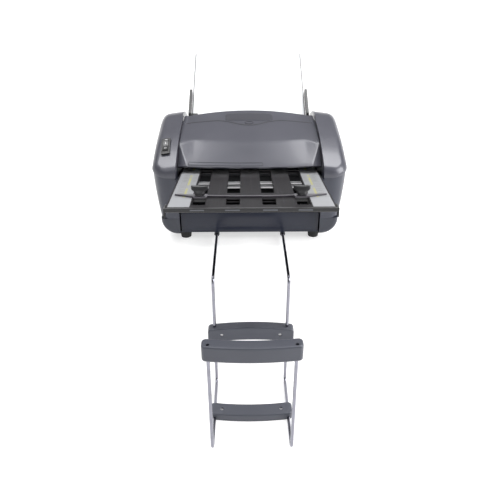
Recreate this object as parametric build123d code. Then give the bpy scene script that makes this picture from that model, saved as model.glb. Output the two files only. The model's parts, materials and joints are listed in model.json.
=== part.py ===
from build123d import *
import os
from math import acos, atan2, cos, hypot, pi, radians, sin, sqrt, tan

# Desktop letter folder: a hopper at the back, four fold rollers, a front fold tray and a
# drop-down stacker that hangs over the desk edge.
# X runs to the operator's right, Y to the back, Z up. The origin is the centre of the four
# feet on the desk top. All lengths are millimetres.

# ---- fits -----------------------------------------------------------------------------
FIT = 0.05  # a seat or press fit
RUN = 0.08  # a shaft in its bush
AIR = 0.4  # between covers and between parts that pass each other

# ---- driving sizes --------------------------------------------------------------------
PAPER_W = 216.0  # letter paper across the feed
SIDE_PLAY = 3.75  # paper edge to side frame
FRAME_T = 2.0  # steel side frame
GEAR_W = 5.0  # face width of the roller gears
WALL = 2.5  # moulded casing wall
EAR_W = 42.0  # width of each side housing
BODY_FRONT = -105.0  # plane of the front panel
BODY_BACK = 120.0  # outside of the rear cover
FOOT_H = 13.0  # rubber feet, desk to base
BASE_TOP = 45.0  # rim of the base tub
PANEL_TOP = 52.0  # top edge of the front panel
FEET_Y = 90.0  # front and rear feet, from the centre

FRAME_IN = PAPER_W / 2 + SIDE_PLAY
FRAME_OUT = FRAME_IN + FRAME_T
GEAR_X0 = FRAME_OUT + 0.7
GEAR_X1 = GEAR_X0 + GEAR_W
EAR_IN = GEAR_X1 + 1.7  # inner wall of the side housings
COVER_HALF = EAR_IN - 0.9
HALF_W = EAR_IN + EAR_W  # half of the overall width
FEET_X = FRAME_IN + 2.25  # the feet stand under the side frames

# ---- helpers --------------------------------------------------------------------------


def block(x0, x1, y0, y1, z0, z1):
    """A box between two corners."""
    return Pos((x0 + x1) / 2, (y0 + y1) / 2, (z0 + z1) / 2) * Box(abs(x1 - x0), abs(y1 - y0), abs(z1 - z0))


def rod_x(y, z, r, x0, x1):
    """A round bar along X."""
    return Pos((x0 + x1) / 2, y, z) * Rot(0, 90, 0) * Cylinder(r, abs(x1 - x0))


def rod_y(x, z, r, y0, y1):
    """A round bar along Y."""
    return Pos(x, (y0 + y1) / 2, z) * Rot(90, 0, 0) * Cylinder(r, abs(y1 - y0))


def rod_z(x, y, r, z0, z1):
    """A round bar along Z."""
    return Pos(x, y, (z0 + z1) / 2) * Cylinder(r, abs(z1 - z0))


def face_of(points):
    """A flat face with straight sides."""
    return make_face(Polyline(*points, close=True))


def prism_x(face, x0, x1):
    """A face drawn in (Y, Z), extruded from x0 to x1."""
    return extrude(Plane.YZ.offset(x0) * face, amount=x1 - x0)


def prism_y(face, y0, y1):
    """A face drawn in (X, Z), extruded from y0 to y1."""
    place = Plane(origin=(0, y1, 0), x_dir=(1, 0, 0), z_dir=(0, -1, 0))
    return extrude(place * face, amount=y1 - y0)


def span(side, near, far):
    """Two distances from the centre plane, as rising X values on one side of it (-1 left, +1 right)."""
    return sorted((side * near, side * far))


def slope_plane(y, z, tilt):
    """Plane through (y, z) with its X to the right and its Y to the back, rising by tilt degrees."""
    return Plane(origin=(0, y, z), x_dir=(1, 0, 0), z_dir=(0, -sin(radians(tilt)), cos(radians(tilt))))


def group(solids):
    """Separate solids in one node."""
    return Compound(children=list(solids))


# ---- gears ----------------------------------------------------------------------------
PRESSURE = radians(20)
GEAR_M = 1.6  # module of the roller gears
FOLD_TEETH = 19
IDLER_TEETH = 16
FEED_TEETH = 16
BACKLASH = 0.3


def involute(angle):
    return tan(angle) - angle


def polar(r, a):
    return (r * cos(a), r * sin(a))


def gear_face(teeth, module, phase):
    """An involute spur gear, with a tooth centred at the angle phase."""
    pitch_r = module * teeth / 2
    base_r = pitch_r * cos(PRESSURE)
    tip_r = pitch_r + 0.9 * module
    root_r = pitch_r - 1.2 * module
    half = pi / (2 * teeth) - BACKLASH / (2 * pitch_r) + involute(PRESSURE)

    def half_angle(r):
        return half - involute(acos(min(1.0, base_r / r)))

    start_r = max(base_r, root_r) + 0.01
    mid_r = (start_r + tip_r) / 2
    edges = []
    for k in range(teeth):
        c = phase + 2 * pi * k / teeth
        n = c + 2 * pi / teeth
        low, mid, top = half_angle(start_r), half_angle(mid_r), half_angle(tip_r)
        edges.append(Line(polar(root_r, c - low), polar(start_r, c - low)))
        edges.append(ThreePointArc(polar(start_r, c - low), polar(mid_r, c - mid), polar(tip_r, c - top)))
        edges.append(Line(polar(tip_r, c - top), polar(tip_r, c + top)))
        edges.append(ThreePointArc(polar(tip_r, c + top), polar(mid_r, c + mid), polar(start_r, c + low)))
        edges.append(Line(polar(start_r, c + low), polar(root_r, c + low)))
        edges.append(Line(polar(root_r, c + low), polar(root_r, n - low)))
    return make_face(edges)


def meshed_phase(phase, teeth, other_teeth, direction):
    """The phase of a gear that meshes with one of this phase, seen along direction from it."""
    pitch = 2 * pi / teeth
    lag = (direction - phase) % pitch
    return direction + pi + lag * teeth / other_teeth + pi / other_teeth


def gear_x(centre, face, bore_r, x0, x1):
    """A gear on a shaft along X."""
    body = extrude(Plane(origin=(x0, *centre), x_dir=(0, 1, 0), z_dir=(1, 0, 0)) * face, amount=x1 - x0)
    return body - rod_x(*centre, bore_r, x0 - 1, x1 + 1)


# ---- rollers --------------------------------------------------------------------------
ROLLER_R = 15.0
SHAFT_R = 4.0
BUSH_R = 6.0
ROLLER_PITCH = GEAR_M * FOLD_TEETH  # centre distance of rollers that nip
ROLLER_HALF = FRAME_IN - 3.0  # half length of the rubber sleeves
SHAFT_LEFT = -GEAR_X1
EXIT_ROLLER = (-16.0, 44.0)  # (y, z) of the lowest roller
LEANS = (82.0, 109.0, 82.0)  # direction from each roller to the next one up, degrees


def above(centre, lean):
    return (centre[0] + ROLLER_PITCH * cos(radians(lean)), centre[1] + ROLLER_PITCH * sin(radians(lean)))


ROLLER_4 = EXIT_ROLLER
ROLLER_3 = above(ROLLER_4, LEANS[0])
ROLLER_2 = above(ROLLER_3, LEANS[1])
ROLLER_1 = above(ROLLER_2, LEANS[2])
FOLD_ROLLERS = (ROLLER_1, ROLLER_2, ROLLER_3, ROLLER_4)

# ---- hopper plane ---------------------------------------------------------------------
REST_TILT = 30.0
REST_Y, REST_Z = 80.0, 170.0  # a point on the paper plane
REST_PLANE = slope_plane(REST_Y, REST_Z, REST_TILT)
REST_LOW, REST_HIGH = -42.0, 182.0  # along the slope
REST_HALF = PAPER_W / 2 + 2.0
REST_T = 2.0
FEED_TYRE_R = 14.0
FEED_ALONG = -62.0  # where the tyres touch the paper plane
FEED_CENTRE = (
    REST_Y + FEED_ALONG * cos(radians(REST_TILT)) + (FEED_TYRE_R + 0.3) * sin(radians(REST_TILT)),
    REST_Z + FEED_ALONG * sin(radians(REST_TILT)) - (FEED_TYRE_R + 0.3) * cos(radians(REST_TILT)),
)


def idler_centre():
    """The idler's centre, in mesh with the first roller's gear and the feed gear, below them."""
    a, b = ROLLER_1, FEED_CENTRE
    ra = GEAR_M * (FOLD_TEETH + IDLER_TEETH) / 2
    rb = GEAR_M * (FEED_TEETH + IDLER_TEETH) / 2
    d = hypot(b[0] - a[0], b[1] - a[1])
    along = (ra * ra - rb * rb + d * d) / (2 * d)
    off = sqrt(max(0.0, ra * ra - along * along))
    ux, uz = (b[0] - a[0]) / d, (b[1] - a[1]) / d
    return (a[0] + along * ux + off * uz, a[1] + along * uz - off * ux)


IDLER_CENTRE = idler_centre()


def heading(a, b):
    return atan2(b[1] - a[1], b[0] - a[0])


# ---- outer casing ---------------------------------------------------------------------
BASE_HALF = HALF_W - 10.0  # the base is narrower than the side housings
BASE_EDGE_R = 28.0
NOSE_ROUND = 8.0
BASE_NOSE = 8.0  # the base's corners stand in front of the panel
PANEL_T = 3.0
PANEL_HALF = EAR_IN - 1.5
PANEL_SWELL = 1.5
EAR_NOSE = 20.0  # how far the side housings reach past the panel, at the top
CAP_FRONT_Z = 139.0
CAP_PEAK_Y, CAP_PEAK_Z = 54.0, 185.0
CAP_FALL = 8.0  # degrees by which the cap's top falls outwards
SEAM_FRONT_Z = 123.5
SEAM_RISE = 30.0  # front to middle
CAP_LIP = 1.6  # how far a cap stands proud of the cover below it
CAP_ROUND = 17.0
NOSE_R = 30.0
TAIL_R = EAR_W - 8.0
EAR_FRONT = BODY_FRONT - EAR_NOSE
EAR_BACK = BODY_BACK + 5.0


def seam_curve():
    """Side view of the parting line between the caps and the covers below them."""
    return [
        (EAR_FRONT - 25, SEAM_FRONT_Z - 10),
        (EAR_FRONT, SEAM_FRONT_Z),
        (EAR_FRONT + 30, SEAM_FRONT_Z + 0.35 * SEAM_RISE),
        (EAR_FRONT + 88, SEAM_FRONT_Z + 0.77 * SEAM_RISE),
        (CAP_PEAK_Y - 9, SEAM_FRONT_Z + SEAM_RISE),
        (EAR_BACK, SEAM_FRONT_Z + 0.9 * SEAM_RISE),
        (EAR_BACK + 25, SEAM_FRONT_Z + 0.8 * SEAM_RISE),
    ]


def seam_half(z_far):
    """Everything on one side of the parting line, up or down to z_far."""
    seam = seam_curve()
    low, high = seam[0], seam[-1]
    edge = Polyline(high, (high[0], z_far), (low[0], z_far), low)
    return prism_x(make_face([Spline(*seam), edge]), 0, 2 * HALF_W)


def base_pan():
    """Base tub: rounded lower edges, open top, a gap for the panel, two tubes for the stacker."""
    height = BASE_TOP - FOOT_H

    def tub(inset):
        outline = Rectangle(2 * (BASE_HALF - inset), height + inset)
        outline = fillet(outline.vertices().group_by(Axis.Y)[0], BASE_EDGE_R - inset)
        outline = Pos(0, FOOT_H + inset + (height + inset) / 2) * outline
        return prism_y(outline, BODY_FRONT - BASE_NOSE + inset, BODY_BACK - inset)

    outer = tub(0)
    outer = outer & block(-HALF_W, HALF_W, -HALF_W, HALF_W, 0, BASE_TOP)
    nose = outer.edges().group_by(Axis.Y)[0].filter_by(lambda e: e.center().Z < BASE_TOP - 0.5)
    outer = fillet(nose, NOSE_ROUND)
    shell = outer - tub(WALL)
    shell -= block(-EAR_IN, EAR_IN, BODY_FRONT - BASE_NOSE - 1, BODY_FRONT + PANEL_T + 1, 0, BASE_TOP + 1)
    front_lip = (BODY_FRONT + PANEL_T, BODY_FRONT + PANEL_T + 8)
    shell += block(-EAR_IN + 1, EAR_IN - 1, *front_lip, FOOT_H, FOOT_H + WALL)
    shell -= block(-EAR_IN, EAR_IN, BODY_BACK - WALL - 1, BODY_BACK + 1, FOOT_H + WALL, BASE_TOP + 1)
    socket_back = SOCKET_FRONT + SOCKET_L
    for side in (-1, 1):
        x = side * WIRE_X
        boss = rod_y(x, WIRE_Z, SOCKET_R, SOCKET_FRONT, socket_back)
        web = block(x - 3, x + 3, SOCKET_FRONT + 4, socket_back, WIRE_Z, FOOT_H + 1)
        bore = rod_y(x, WIRE_Z, WIRE_R + RUN, SOCKET_FRONT - 1, socket_back - 2)
        shell = shell + boss + web - bore
        for foot_y in (-FEET_Y, FEET_Y):
            shell -= rod_z(side * FEET_X, foot_y, FOOT_STUD_R + FIT, FOOT_H - 1, FOOT_H + WALL + 1)
    return shell


def front_panel():
    """Glossy lower front panel, swelling a little forward, with a rounded top edge."""
    y0, y1 = BODY_FRONT - PANEL_SWELL, BODY_FRONT + PANEL_T - AIR
    z0, z1 = FOOT_H + 1.5, PANEL_TOP
    front = ThreePointArc((BODY_FRONT, z1), (y0, (z0 + z1) / 2), (BODY_FRONT, z0))
    back = Polyline((BODY_FRONT, z0), (y1, z0), (y1, z1), (BODY_FRONT, z1))
    panel = prism_x(make_face([front, back]), -PANEL_HALF, PANEL_HALF)
    return fillet(panel.edges().filter_by(Axis.X).sort_by(Axis.Z)[-2:], 0.9)


def housing_section(x_in, x_out, y0, y1, nose_r, tail_r, z):
    """Plan outline of a right-hand side housing at one height, rounded on its two outer corners."""
    sketch = Pos((x_in + x_out) / 2, (y0 + y1) / 2) * Rectangle(x_out - x_in, y1 - y0)
    outer = sketch.vertices().sort_by(Axis.X)[-2:].sort_by(Axis.Y)
    sketch = fillet(outer[0], nose_r)
    outer = sketch.vertices().group_by(Axis.Y)[-1].sort_by(Axis.X)
    sketch = fillet(outer[-1], tail_r)
    return Pos(0, 0, z) * sketch


def side_cover():
    """Right-hand lower side cover: tapers in and back towards the base."""
    top_out = HALF_W - CAP_LIP
    levels = (
        (BASE_TOP, BASE_HALF, BODY_FRONT - BASE_NOSE, BODY_BACK, 16.0, 14.0),
        (BASE_TOP + 40, HALF_W - 4.5, BODY_FRONT - 0.7 * EAR_NOSE, EAR_BACK - 3.0, 24.0, 26.0),
        (SEAM_FRONT_Z, top_out, EAR_FRONT + CAP_LIP, EAR_BACK - CAP_LIP, NOSE_R, TAIL_R - 2),
        (SEAM_FRONT_Z + 40, top_out, EAR_FRONT + CAP_LIP, EAR_BACK - CAP_LIP, NOSE_R, TAIL_R - 2),
    )

    def stack(inset):
        sections = []
        for z, out, y0, y1, nose, tail in levels:
            sides = (EAR_IN + inset, out - inset, y0 + inset, y1 - inset)
            sections.append(housing_section(*sides, nose - inset, tail - inset, z))
        return loft(sections, ruled=False)

    shell = stack(0) - stack(WALL)
    shell -= block(0, 2 * HALF_W, -HALF_W, HALF_W, SEAM_FRONT_Z + 36, 2 * HALF_W)
    shell -= seam_half(2 * HALF_W)
    return shell + tray_ledge()


def cap_top(drop):
    """Side profile of a cap's top, from nose to tail, as one curve."""
    points = [
        (EAR_FRONT - 16, CAP_FRONT_Z - 9),
        (EAR_FRONT, CAP_FRONT_Z),
        (EAR_FRONT + 40, CAP_FRONT_Z + 17),
        (EAR_FRONT + 88, CAP_FRONT_Z + 31.5),
        (CAP_PEAK_Y - 46, CAP_PEAK_Z - 5.5),
        (CAP_PEAK_Y, CAP_PEAK_Z),
        (CAP_PEAK_Y + 32, CAP_PEAK_Z - 8),
        (EAR_BACK - 14, CAP_PEAK_Z - 20),
        (EAR_BACK + 20, CAP_PEAK_Z - 44),
    ]
    return [(y, z - drop) for y, z in points]


def side_cap():
    """Right-hand upper cap: the top falls a little outwards, with wide soft edges, and it is open below."""
    tilt = Pos(EAR_IN, 0, CAP_PEAK_Z) * Rot(0, CAP_FALL, 0) * Pos(-EAR_IN, 0, -CAP_PEAK_Z)

    def solid(inset, corner):
        ends = (EAR_FRONT + inset, EAR_BACK - inset)
        plan = housing_section(EAR_IN + inset, HALF_W - inset, *ends, NOSE_R - inset, TAIL_R - inset, 0)
        column = Pos(0, 0, 60) * extrude(plan, amount=160)
        top = cap_top(inset)
        profile = make_face([Spline(*top), Polyline(top[-1], (top[-1][0], 40), (top[0][0], 40), top[0])])
        roof = prism_x(profile, EAR_IN - EAR_W, 2 * HALF_W)
        body = column & (tilt * roof)
        crown = body.faces().sort_by(lambda f: f.center().Z)[-1]
        rim = crown.edges().filter_by(lambda e: e.center().X > EAR_IN + inset + 1)
        return fillet(rim, corner)

    shell = solid(0, CAP_ROUND) - solid(WALL, CAP_ROUND - WALL)
    return shell - seam_half(-HALF_W)


# ---- power switch ---------------------------------------------------------------------
SWITCH_IN = 20.0  # from the housing's inner wall
SWITCH_X = -(EAR_IN + SWITCH_IN)
SWITCH_Y = -70.0
SWITCH_W, SWITCH_L = 15.0, 43.0
ROCKER_W, ROCKER_L = 9.0, 27.0


def switch_plane():
    """Plane on the left cap's top, under the switch, with its X to the right and its Y up the slope."""
    crown = Spline(*cap_top(0))
    low, high = 0.0, 1.0
    for _ in range(40):
        middle = (low + high) / 2
        low, high = (middle, high) if (crown @ middle).X < SWITCH_Y else (low, middle)
    place, slope = crown @ low, crown % low
    fall = radians(CAP_FALL)
    across = Vector(cos(fall), 0, sin(fall))
    return Plane(
        origin=(SWITCH_X, SWITCH_Y, place.Y - SWITCH_IN * tan(fall)),
        x_dir=across,
        z_dir=across.cross(Vector(0, slope.X, slope.Y)),
    )


SWITCH_PLANE = switch_plane()


SWITCH_RIM = 1.6  # flange beyond the hole in the cap
SWITCH_DEEP = 14.0
FLANGE_Z = (0.9, 2.6)
ROCKER_AXLE_R = 1.2
ROCKER_AXLE_Z = -3.0
ROCKER_FACE = 4.6  # ends of the rocker above the plane
DISH_R = 28.5
DISH_DEEP = 2.0


def in_switch(solid):
    return SWITCH_PLANE * solid


def switch_block(width, length, z0, z1):
    """A box centred on the switch."""
    return block(-width / 2, width / 2, -length / 2, length / 2, z0, z1)


def switch_axle(radius):
    return Pos(0, 0, ROCKER_AXLE_Z) * Rot(0, 90, 0) * Cylinder(radius, SWITCH_W)


def switch_hole():
    width, length = SWITCH_W - 2 * SWITCH_RIM, SWITCH_L - 2 * SWITCH_RIM
    return in_switch(switch_block(width, length, -SWITCH_DEEP, SWITCH_DEEP))


def switch_bezel():
    """Flanged frame of the switch, with its body below the cap and an axle pin across it."""
    flange = switch_block(SWITCH_W, SWITCH_L, *FLANGE_Z)
    flange = fillet(flange.edges().filter_by(Axis.Z), 2.0)
    rim = 2 * (SWITCH_RIM + 2 * FIT)
    neck = switch_block(SWITCH_W - rim, SWITCH_L - rim, -SWITCH_DEEP, FLANGE_Z[0] + 0.1)
    well = switch_block(ROCKER_W + 2 * 0.3, ROCKER_L + 2 * 1.2, -SWITCH_DEEP + 1.5, FLANGE_Z[1] + AIR)
    axle = switch_axle(ROCKER_AXLE_R) & switch_block(ROCKER_W + 2, ROCKER_L, -SWITCH_DEEP, 0)
    return in_switch(flange + neck - well + axle)


def switch_rocker():
    """Rocker with a dished face, on the bezel's axle."""
    body = switch_block(ROCKER_W, ROCKER_L, ROCKER_AXLE_Z - 4, ROCKER_FACE)
    dish = Pos(0, 0, ROCKER_FACE + DISH_R - DISH_DEEP) * Rot(0, 90, 0) * Cylinder(DISH_R, SWITCH_W)
    return in_switch((body - dish - switch_axle(ROCKER_AXLE_R + RUN)) & switch_axle(ROCKER_L / 2 + 0.6))


# ---- hinged top cover -----------------------------------------------------------------
COVER_T = 2.5
HINGE_Y, HINGE_Z = 46.0, 167.0
HINGE_R = 2.0
LUG_R, LUG_RISE = 4.5, 6.0
COVER_EDGE = (BODY_FRONT, 138.0)
COVER_RIDGE = (BODY_FRONT + 51.0, 160.0)
COVER_MID = (-2.0, 170.0)
COVER_BACK = (55.0, 177.0)
COVER_CROWN = (-1.5, 0.5, 6.0, 12.0)  # rise of those four points at the centre
COVER_BOW = (5.0, 2.0, 0.0, 0.0)  # how far they come forward there


def cover_section(x, share):
    """Closed side profile of the cover at one X, with a share of the crown."""
    outer = []
    for (y, z), rise, bow in zip((COVER_EDGE, COVER_RIDGE, COVER_MID, COVER_BACK), COVER_CROWN, COVER_BOW):
        outer.append((y - bow * share, z + rise * share))
    inner = [(y + 0.6, z - COVER_T) for y, z in outer]
    ends = (Line(outer[-1], inner[-1]), Line(inner[0], outer[0]))
    return Plane.YZ.offset(x) * make_face([Spline(*outer), ends[0], Spline(*reversed(inner)), ends[1]])


def top_cover():
    """Crowned cover between the side housings, hinged on two pins near its back edge."""
    shell = loft([cover_section(-COVER_HALF, 0), cover_section(0, 1), cover_section(COVER_HALF, 0)])
    for side in (-1, 1):
        x0, x1 = side * (COVER_HALF - 3), side * COVER_HALF
        lug = rod_x(HINGE_Y, HINGE_Z, LUG_R, x0, x1)
        lug += block(x0, x1, HINGE_Y - LUG_R, HINGE_Y + LUG_R, HINGE_Z, HINGE_Z + LUG_RISE)
        pin = rod_x(HINGE_Y, HINGE_Z, HINGE_R, side * (COVER_HALF - 1), side * (EAR_IN + WALL - 0.4))
        shell = shell + lug + pin
    return shell


def hinge_hole(side):
    return rod_x(HINGE_Y, HINGE_Z, HINGE_R + RUN, side * (EAR_IN - 1), side * (EAR_IN + WALL + 1))


# ---- rear cover and inlet -------------------------------------------------------------
REAR_TOP = 150.0
REAR_SLOT = (44.0, 74.0)
INLET_X, INLET_Z = 78.0, 31.5
INLET_W, INLET_H = 28.0, 18.0


INLET_DEEP = 22.0
VENTS, VENT_PITCH, VENT_H = 6, 8.0, 3.0
VENT_X = (15.0, 60.0)


def inlet_block(width, height, y0, y1, rise=0.0):
    """A box centred on the inlet, or raised a little from it."""
    z = INLET_Z + rise
    return block(INLET_X - width / 2, INLET_X + width / 2, y0, y1, z - height / 2, z + height / 2)


def rear_cover():
    """Rear wall between the side housings: plate slot, air slots and the inlet's cut-out."""
    y0 = BODY_BACK - WALL
    through = (y0 - 1, BODY_BACK + 1)
    panel = block(-EAR_IN + AIR, EAR_IN - AIR, y0, BODY_BACK, FOOT_H + WALL + AIR, REAR_TOP)
    panel -= block(-REAR_PLATE_HALF - 2, REAR_PLATE_HALF + 2, *through, *REAR_SLOT)
    panel -= inlet_block(INLET_W, INLET_H, *through)
    for k in range(VENTS):
        z = REAR_SLOT[1] + 2 * VENT_PITCH + VENT_PITCH * k
        for side in (-1, 1):
            panel -= block(*span(side, *VENT_X), *through, z, z + VENT_H)
    return panel


def power_inlet():
    """Three-pin mains inlet with its flange outside the rear cover."""
    width, height = INLET_W - 2 * FIT, INLET_H - 2 * FIT
    flange = inlet_block(width + 8, height + 2, BODY_BACK + FIT, BODY_BACK + 2.5)
    flange = fillet(flange.edges().filter_by(Axis.Y), 2.5)
    body = inlet_block(width, height, BODY_BACK - INLET_DEEP, BODY_BACK + 1)
    well = inlet_block(width - 4, height - 4, BODY_BACK - INLET_DEEP + 5, BODY_BACK + 3)
    inlet = flange + body - well
    for dx, rise in ((-7, 0), (0, 1), (7, 0)):
        pin = Pos(dx, 0, 0) * inlet_block(2, 5, BODY_BACK - INLET_DEEP + 4, BODY_BACK - 4, rise)
        inlet += pin
    return inlet


# ---- frames, rods and bushes ----------------------------------------------------------
PIVOT_ROD = (0.0, 150.0)
FRONT_ROD = (-43.0, 28.0)
BACK_ROD = (93.0, 126.0)
ROD_R = 3.0
RODS = (PIVOT_ROD, FRONT_ROD, BACK_ROD)
FRAME_OUTLINE = [(-50, 18), (100, 18), (100, 150), (44, 146), (30, 161), (-20, 158), (-50, 138)]
FRAME_FOOT_Y = (-40.0, 95.0)
MOTOR_CENTRE = (70.0, 37.0)
MOTOR_R = 16.5
MOTOR_L = 70.0
MOTOR_SHAFT_R = 2.5
STUD_R = 3.0


def side_frame(side):
    """Steel side plate with bearing holes; the right one has the idler's stud, the left one the motor."""
    x0, x1 = span(side, FRAME_IN, FRAME_OUT)
    plate = prism_x(face_of(FRAME_OUTLINE), x0, x1)
    for centre in (*FOLD_ROLLERS, FEED_CENTRE):
        plate -= rod_x(*centre, BUSH_R + FIT, x0 - 1, x1 + 1)
    for centre in RODS:
        plate -= rod_x(*centre, ROD_R + FIT, x0 - 1, x1 + 1)
    if side > 0:
        plate += rod_x(*IDLER_CENTRE, STUD_R, FRAME_OUT - 0.5, GEAR_X1 + 0.6)
    else:
        plate -= rod_x(*MOTOR_CENTRE, MOTOR_SHAFT_R + 2, x0 - 1, x1 + 1)
    z0 = FOOT_H + WALL + FIT
    foot = block(*span(side, FRAME_IN, FRAME_IN - 12), *FRAME_FOOT_Y, z0, z0 + FRAME_T)
    return plate + foot + block(x0, x1, *FRAME_FOOT_Y, z0, FRAME_OUTLINE[0][1] + 2)


def tie_rods():
    return group(rod_x(*centre, ROD_R, -FRAME_OUT - 0.5, FRAME_OUT + 0.5) for centre in RODS)


def bearing_bushes():
    """Flanged bronze bushes in both frames."""
    bushes = []
    for side in (-1, 1):
        for centre in (*FOLD_ROLLERS, FEED_CENTRE):
            sleeve = rod_x(*centre, BUSH_R, side * (FRAME_IN - 1.2), side * (FRAME_OUT + 0.3))
            flange = rod_x(*centre, BUSH_R + 1.5, side * (FRAME_IN - 1.2), side * (FRAME_IN - 0.1))
            bore = rod_x(*centre, SHAFT_R + RUN, side * (FRAME_IN - 3), side * (FRAME_OUT + 3))
            bushes.append(sleeve + flange - bore)
    return group(bushes)


# ---- rollers and their gears ----------------------------------------------------------
TYRE_PITCH, TYRE_W = 58.0, 28.0
PULLEY_R = 20.0
MOTOR_PULLEY_R = 8.0
BELT_T = 1.5


def roller_sleeve(centre):
    bore = rod_x(*centre, SHAFT_R + FIT, -ROLLER_HALF - 1, ROLLER_HALF + 1)
    return rod_x(*centre, ROLLER_R, -ROLLER_HALF, ROLLER_HALF) - bore


def roller_shaft(centre):
    return rod_x(*centre, SHAFT_R, SHAFT_LEFT, GEAR_X1)


def fold_gears():
    """The four roller gears, the idler and the feed gear, each in mesh with the one before."""
    phase = 0.0
    centres = list(reversed(FOLD_ROLLERS))
    made = []
    for k, centre in enumerate(centres):
        if k:
            phase = meshed_phase(phase, FOLD_TEETH, FOLD_TEETH, heading(centres[k - 1], centre))
        made.append(gear_x(centre, gear_face(FOLD_TEETH, GEAR_M, phase), SHAFT_R + FIT, GEAR_X0, GEAR_X1))
    made.reverse()
    phase = meshed_phase(phase, FOLD_TEETH, IDLER_TEETH, heading(ROLLER_1, IDLER_CENTRE))
    idler = gear_x(IDLER_CENTRE, gear_face(IDLER_TEETH, GEAR_M, phase), STUD_R + RUN, GEAR_X0, GEAR_X1)
    phase = meshed_phase(phase, IDLER_TEETH, FEED_TEETH, heading(IDLER_CENTRE, FEED_CENTRE))
    feed = gear_x(FEED_CENTRE, gear_face(FEED_TEETH, GEAR_M, phase), SHAFT_R + FIT, GEAR_X0, GEAR_X1)
    return made, idler, feed


def feed_tyres():
    tyres = []
    for x in (-TYRE_PITCH, 0, TYRE_PITCH):
        tyre = rod_x(*FEED_CENTRE, FEED_TYRE_R, x - TYRE_W / 2, x + TYRE_W / 2)
        tyres.append(tyre - rod_x(*FEED_CENTRE, SHAFT_R + FIT, x - TYRE_W, x + TYRE_W))
    return group(tyres)


def flanged_pulley(centre, radius, bore_r, x0, x1):
    """A belt pulley with a thin flange on each side of the belt."""
    wheel = rod_x(*centre, radius, x0, x1)
    wheel += rod_x(*centre, radius + 2.2, x0, x0 + 0.5) + rod_x(*centre, radius + 2.2, x1 - 0.5, x1)
    return wheel - rod_x(*centre, bore_r, x0 - 1, x1 + 1)


def roller_pulley():
    return flanged_pulley(ROLLER_4, PULLEY_R, SHAFT_R + FIT, -GEAR_X1, -GEAR_X0)


def motor_pulley():
    """Motor pulley with the rotor shaft that carries it."""
    wheel = flanged_pulley(MOTOR_CENTRE, MOTOR_PULLEY_R, MOTOR_SHAFT_R - 1, -GEAR_X1, -GEAR_X0)
    return wheel + rod_x(*MOTOR_CENTRE, MOTOR_SHAFT_R, -GEAR_X1, -FRAME_IN + 10)


def drive_motor():
    """Motor can on the left frame, open at the shaft end for the rotor shaft."""
    can = rod_x(*MOTOR_CENTRE, MOTOR_R, -FRAME_IN + FIT, -FRAME_IN + MOTOR_L)
    can = fillet(can.edges().sort_by(Axis.X)[-1], 3.0)
    return can - rod_x(*MOTOR_CENTRE, MOTOR_SHAFT_R + RUN, -FRAME_IN - 1, -FRAME_IN + 11)


def drive_belt():
    """Flat loop round both pulleys, 0.3 mm clear of them so that it can stand still."""
    (y1, z1), (y2, z2) = ROLLER_4, MOTOR_CENTRE
    d, a = hypot(y2 - y1, z2 - z1), heading(ROLLER_4, MOTOR_CENTRE)

    def loop(grow):
        r1, r2 = PULLEY_R + grow, MOTOR_PULLEY_R + grow
        lean = acos((r1 - r2) / d)
        up1 = (y1 + r1 * cos(a + lean), z1 + r1 * sin(a + lean))
        up2 = (y2 + r2 * cos(a + lean), z2 + r2 * sin(a + lean))
        low1 = (y1 + r1 * cos(a - lean), z1 + r1 * sin(a - lean))
        low2 = (y2 + r2 * cos(a - lean), z2 + r2 * sin(a - lean))
        back1 = (y1 - r1 * cos(a), z1 - r1 * sin(a))
        front2 = (y2 + r2 * cos(a), z2 + r2 * sin(a))
        arcs = (ThreePointArc(up2, front2, low2), ThreePointArc(low1, back1, up1))
        return make_face([Line(up1, up2), arcs[0], Line(low2, low1), arcs[1]])

    x0, x1 = -GEAR_X1 + 0.8, -GEAR_X0 - 0.8
    return prism_x(loop(0.3 + BELT_T), x0, x1) - prism_x(loop(0.3), x0 - 1, x1 + 1)


# ---- hopper: paper rest, guides, racks and separator ----------------------------------
RACK_M = 1.5
PINION_TEETH = 14
PINION_R = RACK_M * PINION_TEETH / 2
PINION_ALONG = -14.0  # pinion centre, along the slope
RACK_W = (-5.6, -2.6)  # depth of the racks below the paper plane
RACK_BODY = 7.0
GUIDE_TRAVEL = 32.0
GUIDE_IN = REST_HALF + 0.3
GUIDE_T = 4.5
GUIDE_H = 14.0
GUIDE_SILL = 4.0  # height of the guides' low front end, which passes under the cover
GUIDE_LOW, GUIDE_STEP, GUIDE_HIGH = -34.0, -14.0, 60.0
TAB_X = 101.0
TAB_HALF = 3.0
TAB_W = 6.0  # along the slope
RACK_ROOT = 1.7  # pitch line to the foot of the rack's teeth
RACK_PAST = 15.0  # how far a rack passes the centre plane


def on_rest(solid):
    return REST_PLANE * solid


def guide_slot(side):
    """Slot in the paper rest for one guide's tab. Side +1 is the right guide."""
    centre = PINION_ALONG - side * (PINION_R + RACK_ROOT + 0.1 + RACK_BODY / 2)
    x_near, x_far = TAB_X - GUIDE_TRAVEL - TAB_HALF - 1, TAB_X + TAB_HALF + 1
    half = TAB_W / 2 + 0.3
    return block(*span(side, x_near, x_far), centre - half, centre + half, -REST_T - 1, 1)


def paper_rest():
    """Pale sheet that holds the paper, with two slots for the guides and rounded top corners."""
    plate = block(-REST_HALF, REST_HALF, REST_LOW, REST_HIGH, -REST_T, 0)
    corners = plate.edges().filter_by(Axis.Z).sort_by(Axis.Y)[-2:]
    plate = fillet(corners, 8.0)
    for side in (-1, 1):
        plate -= guide_slot(side)
    return on_rest(plate)


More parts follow.
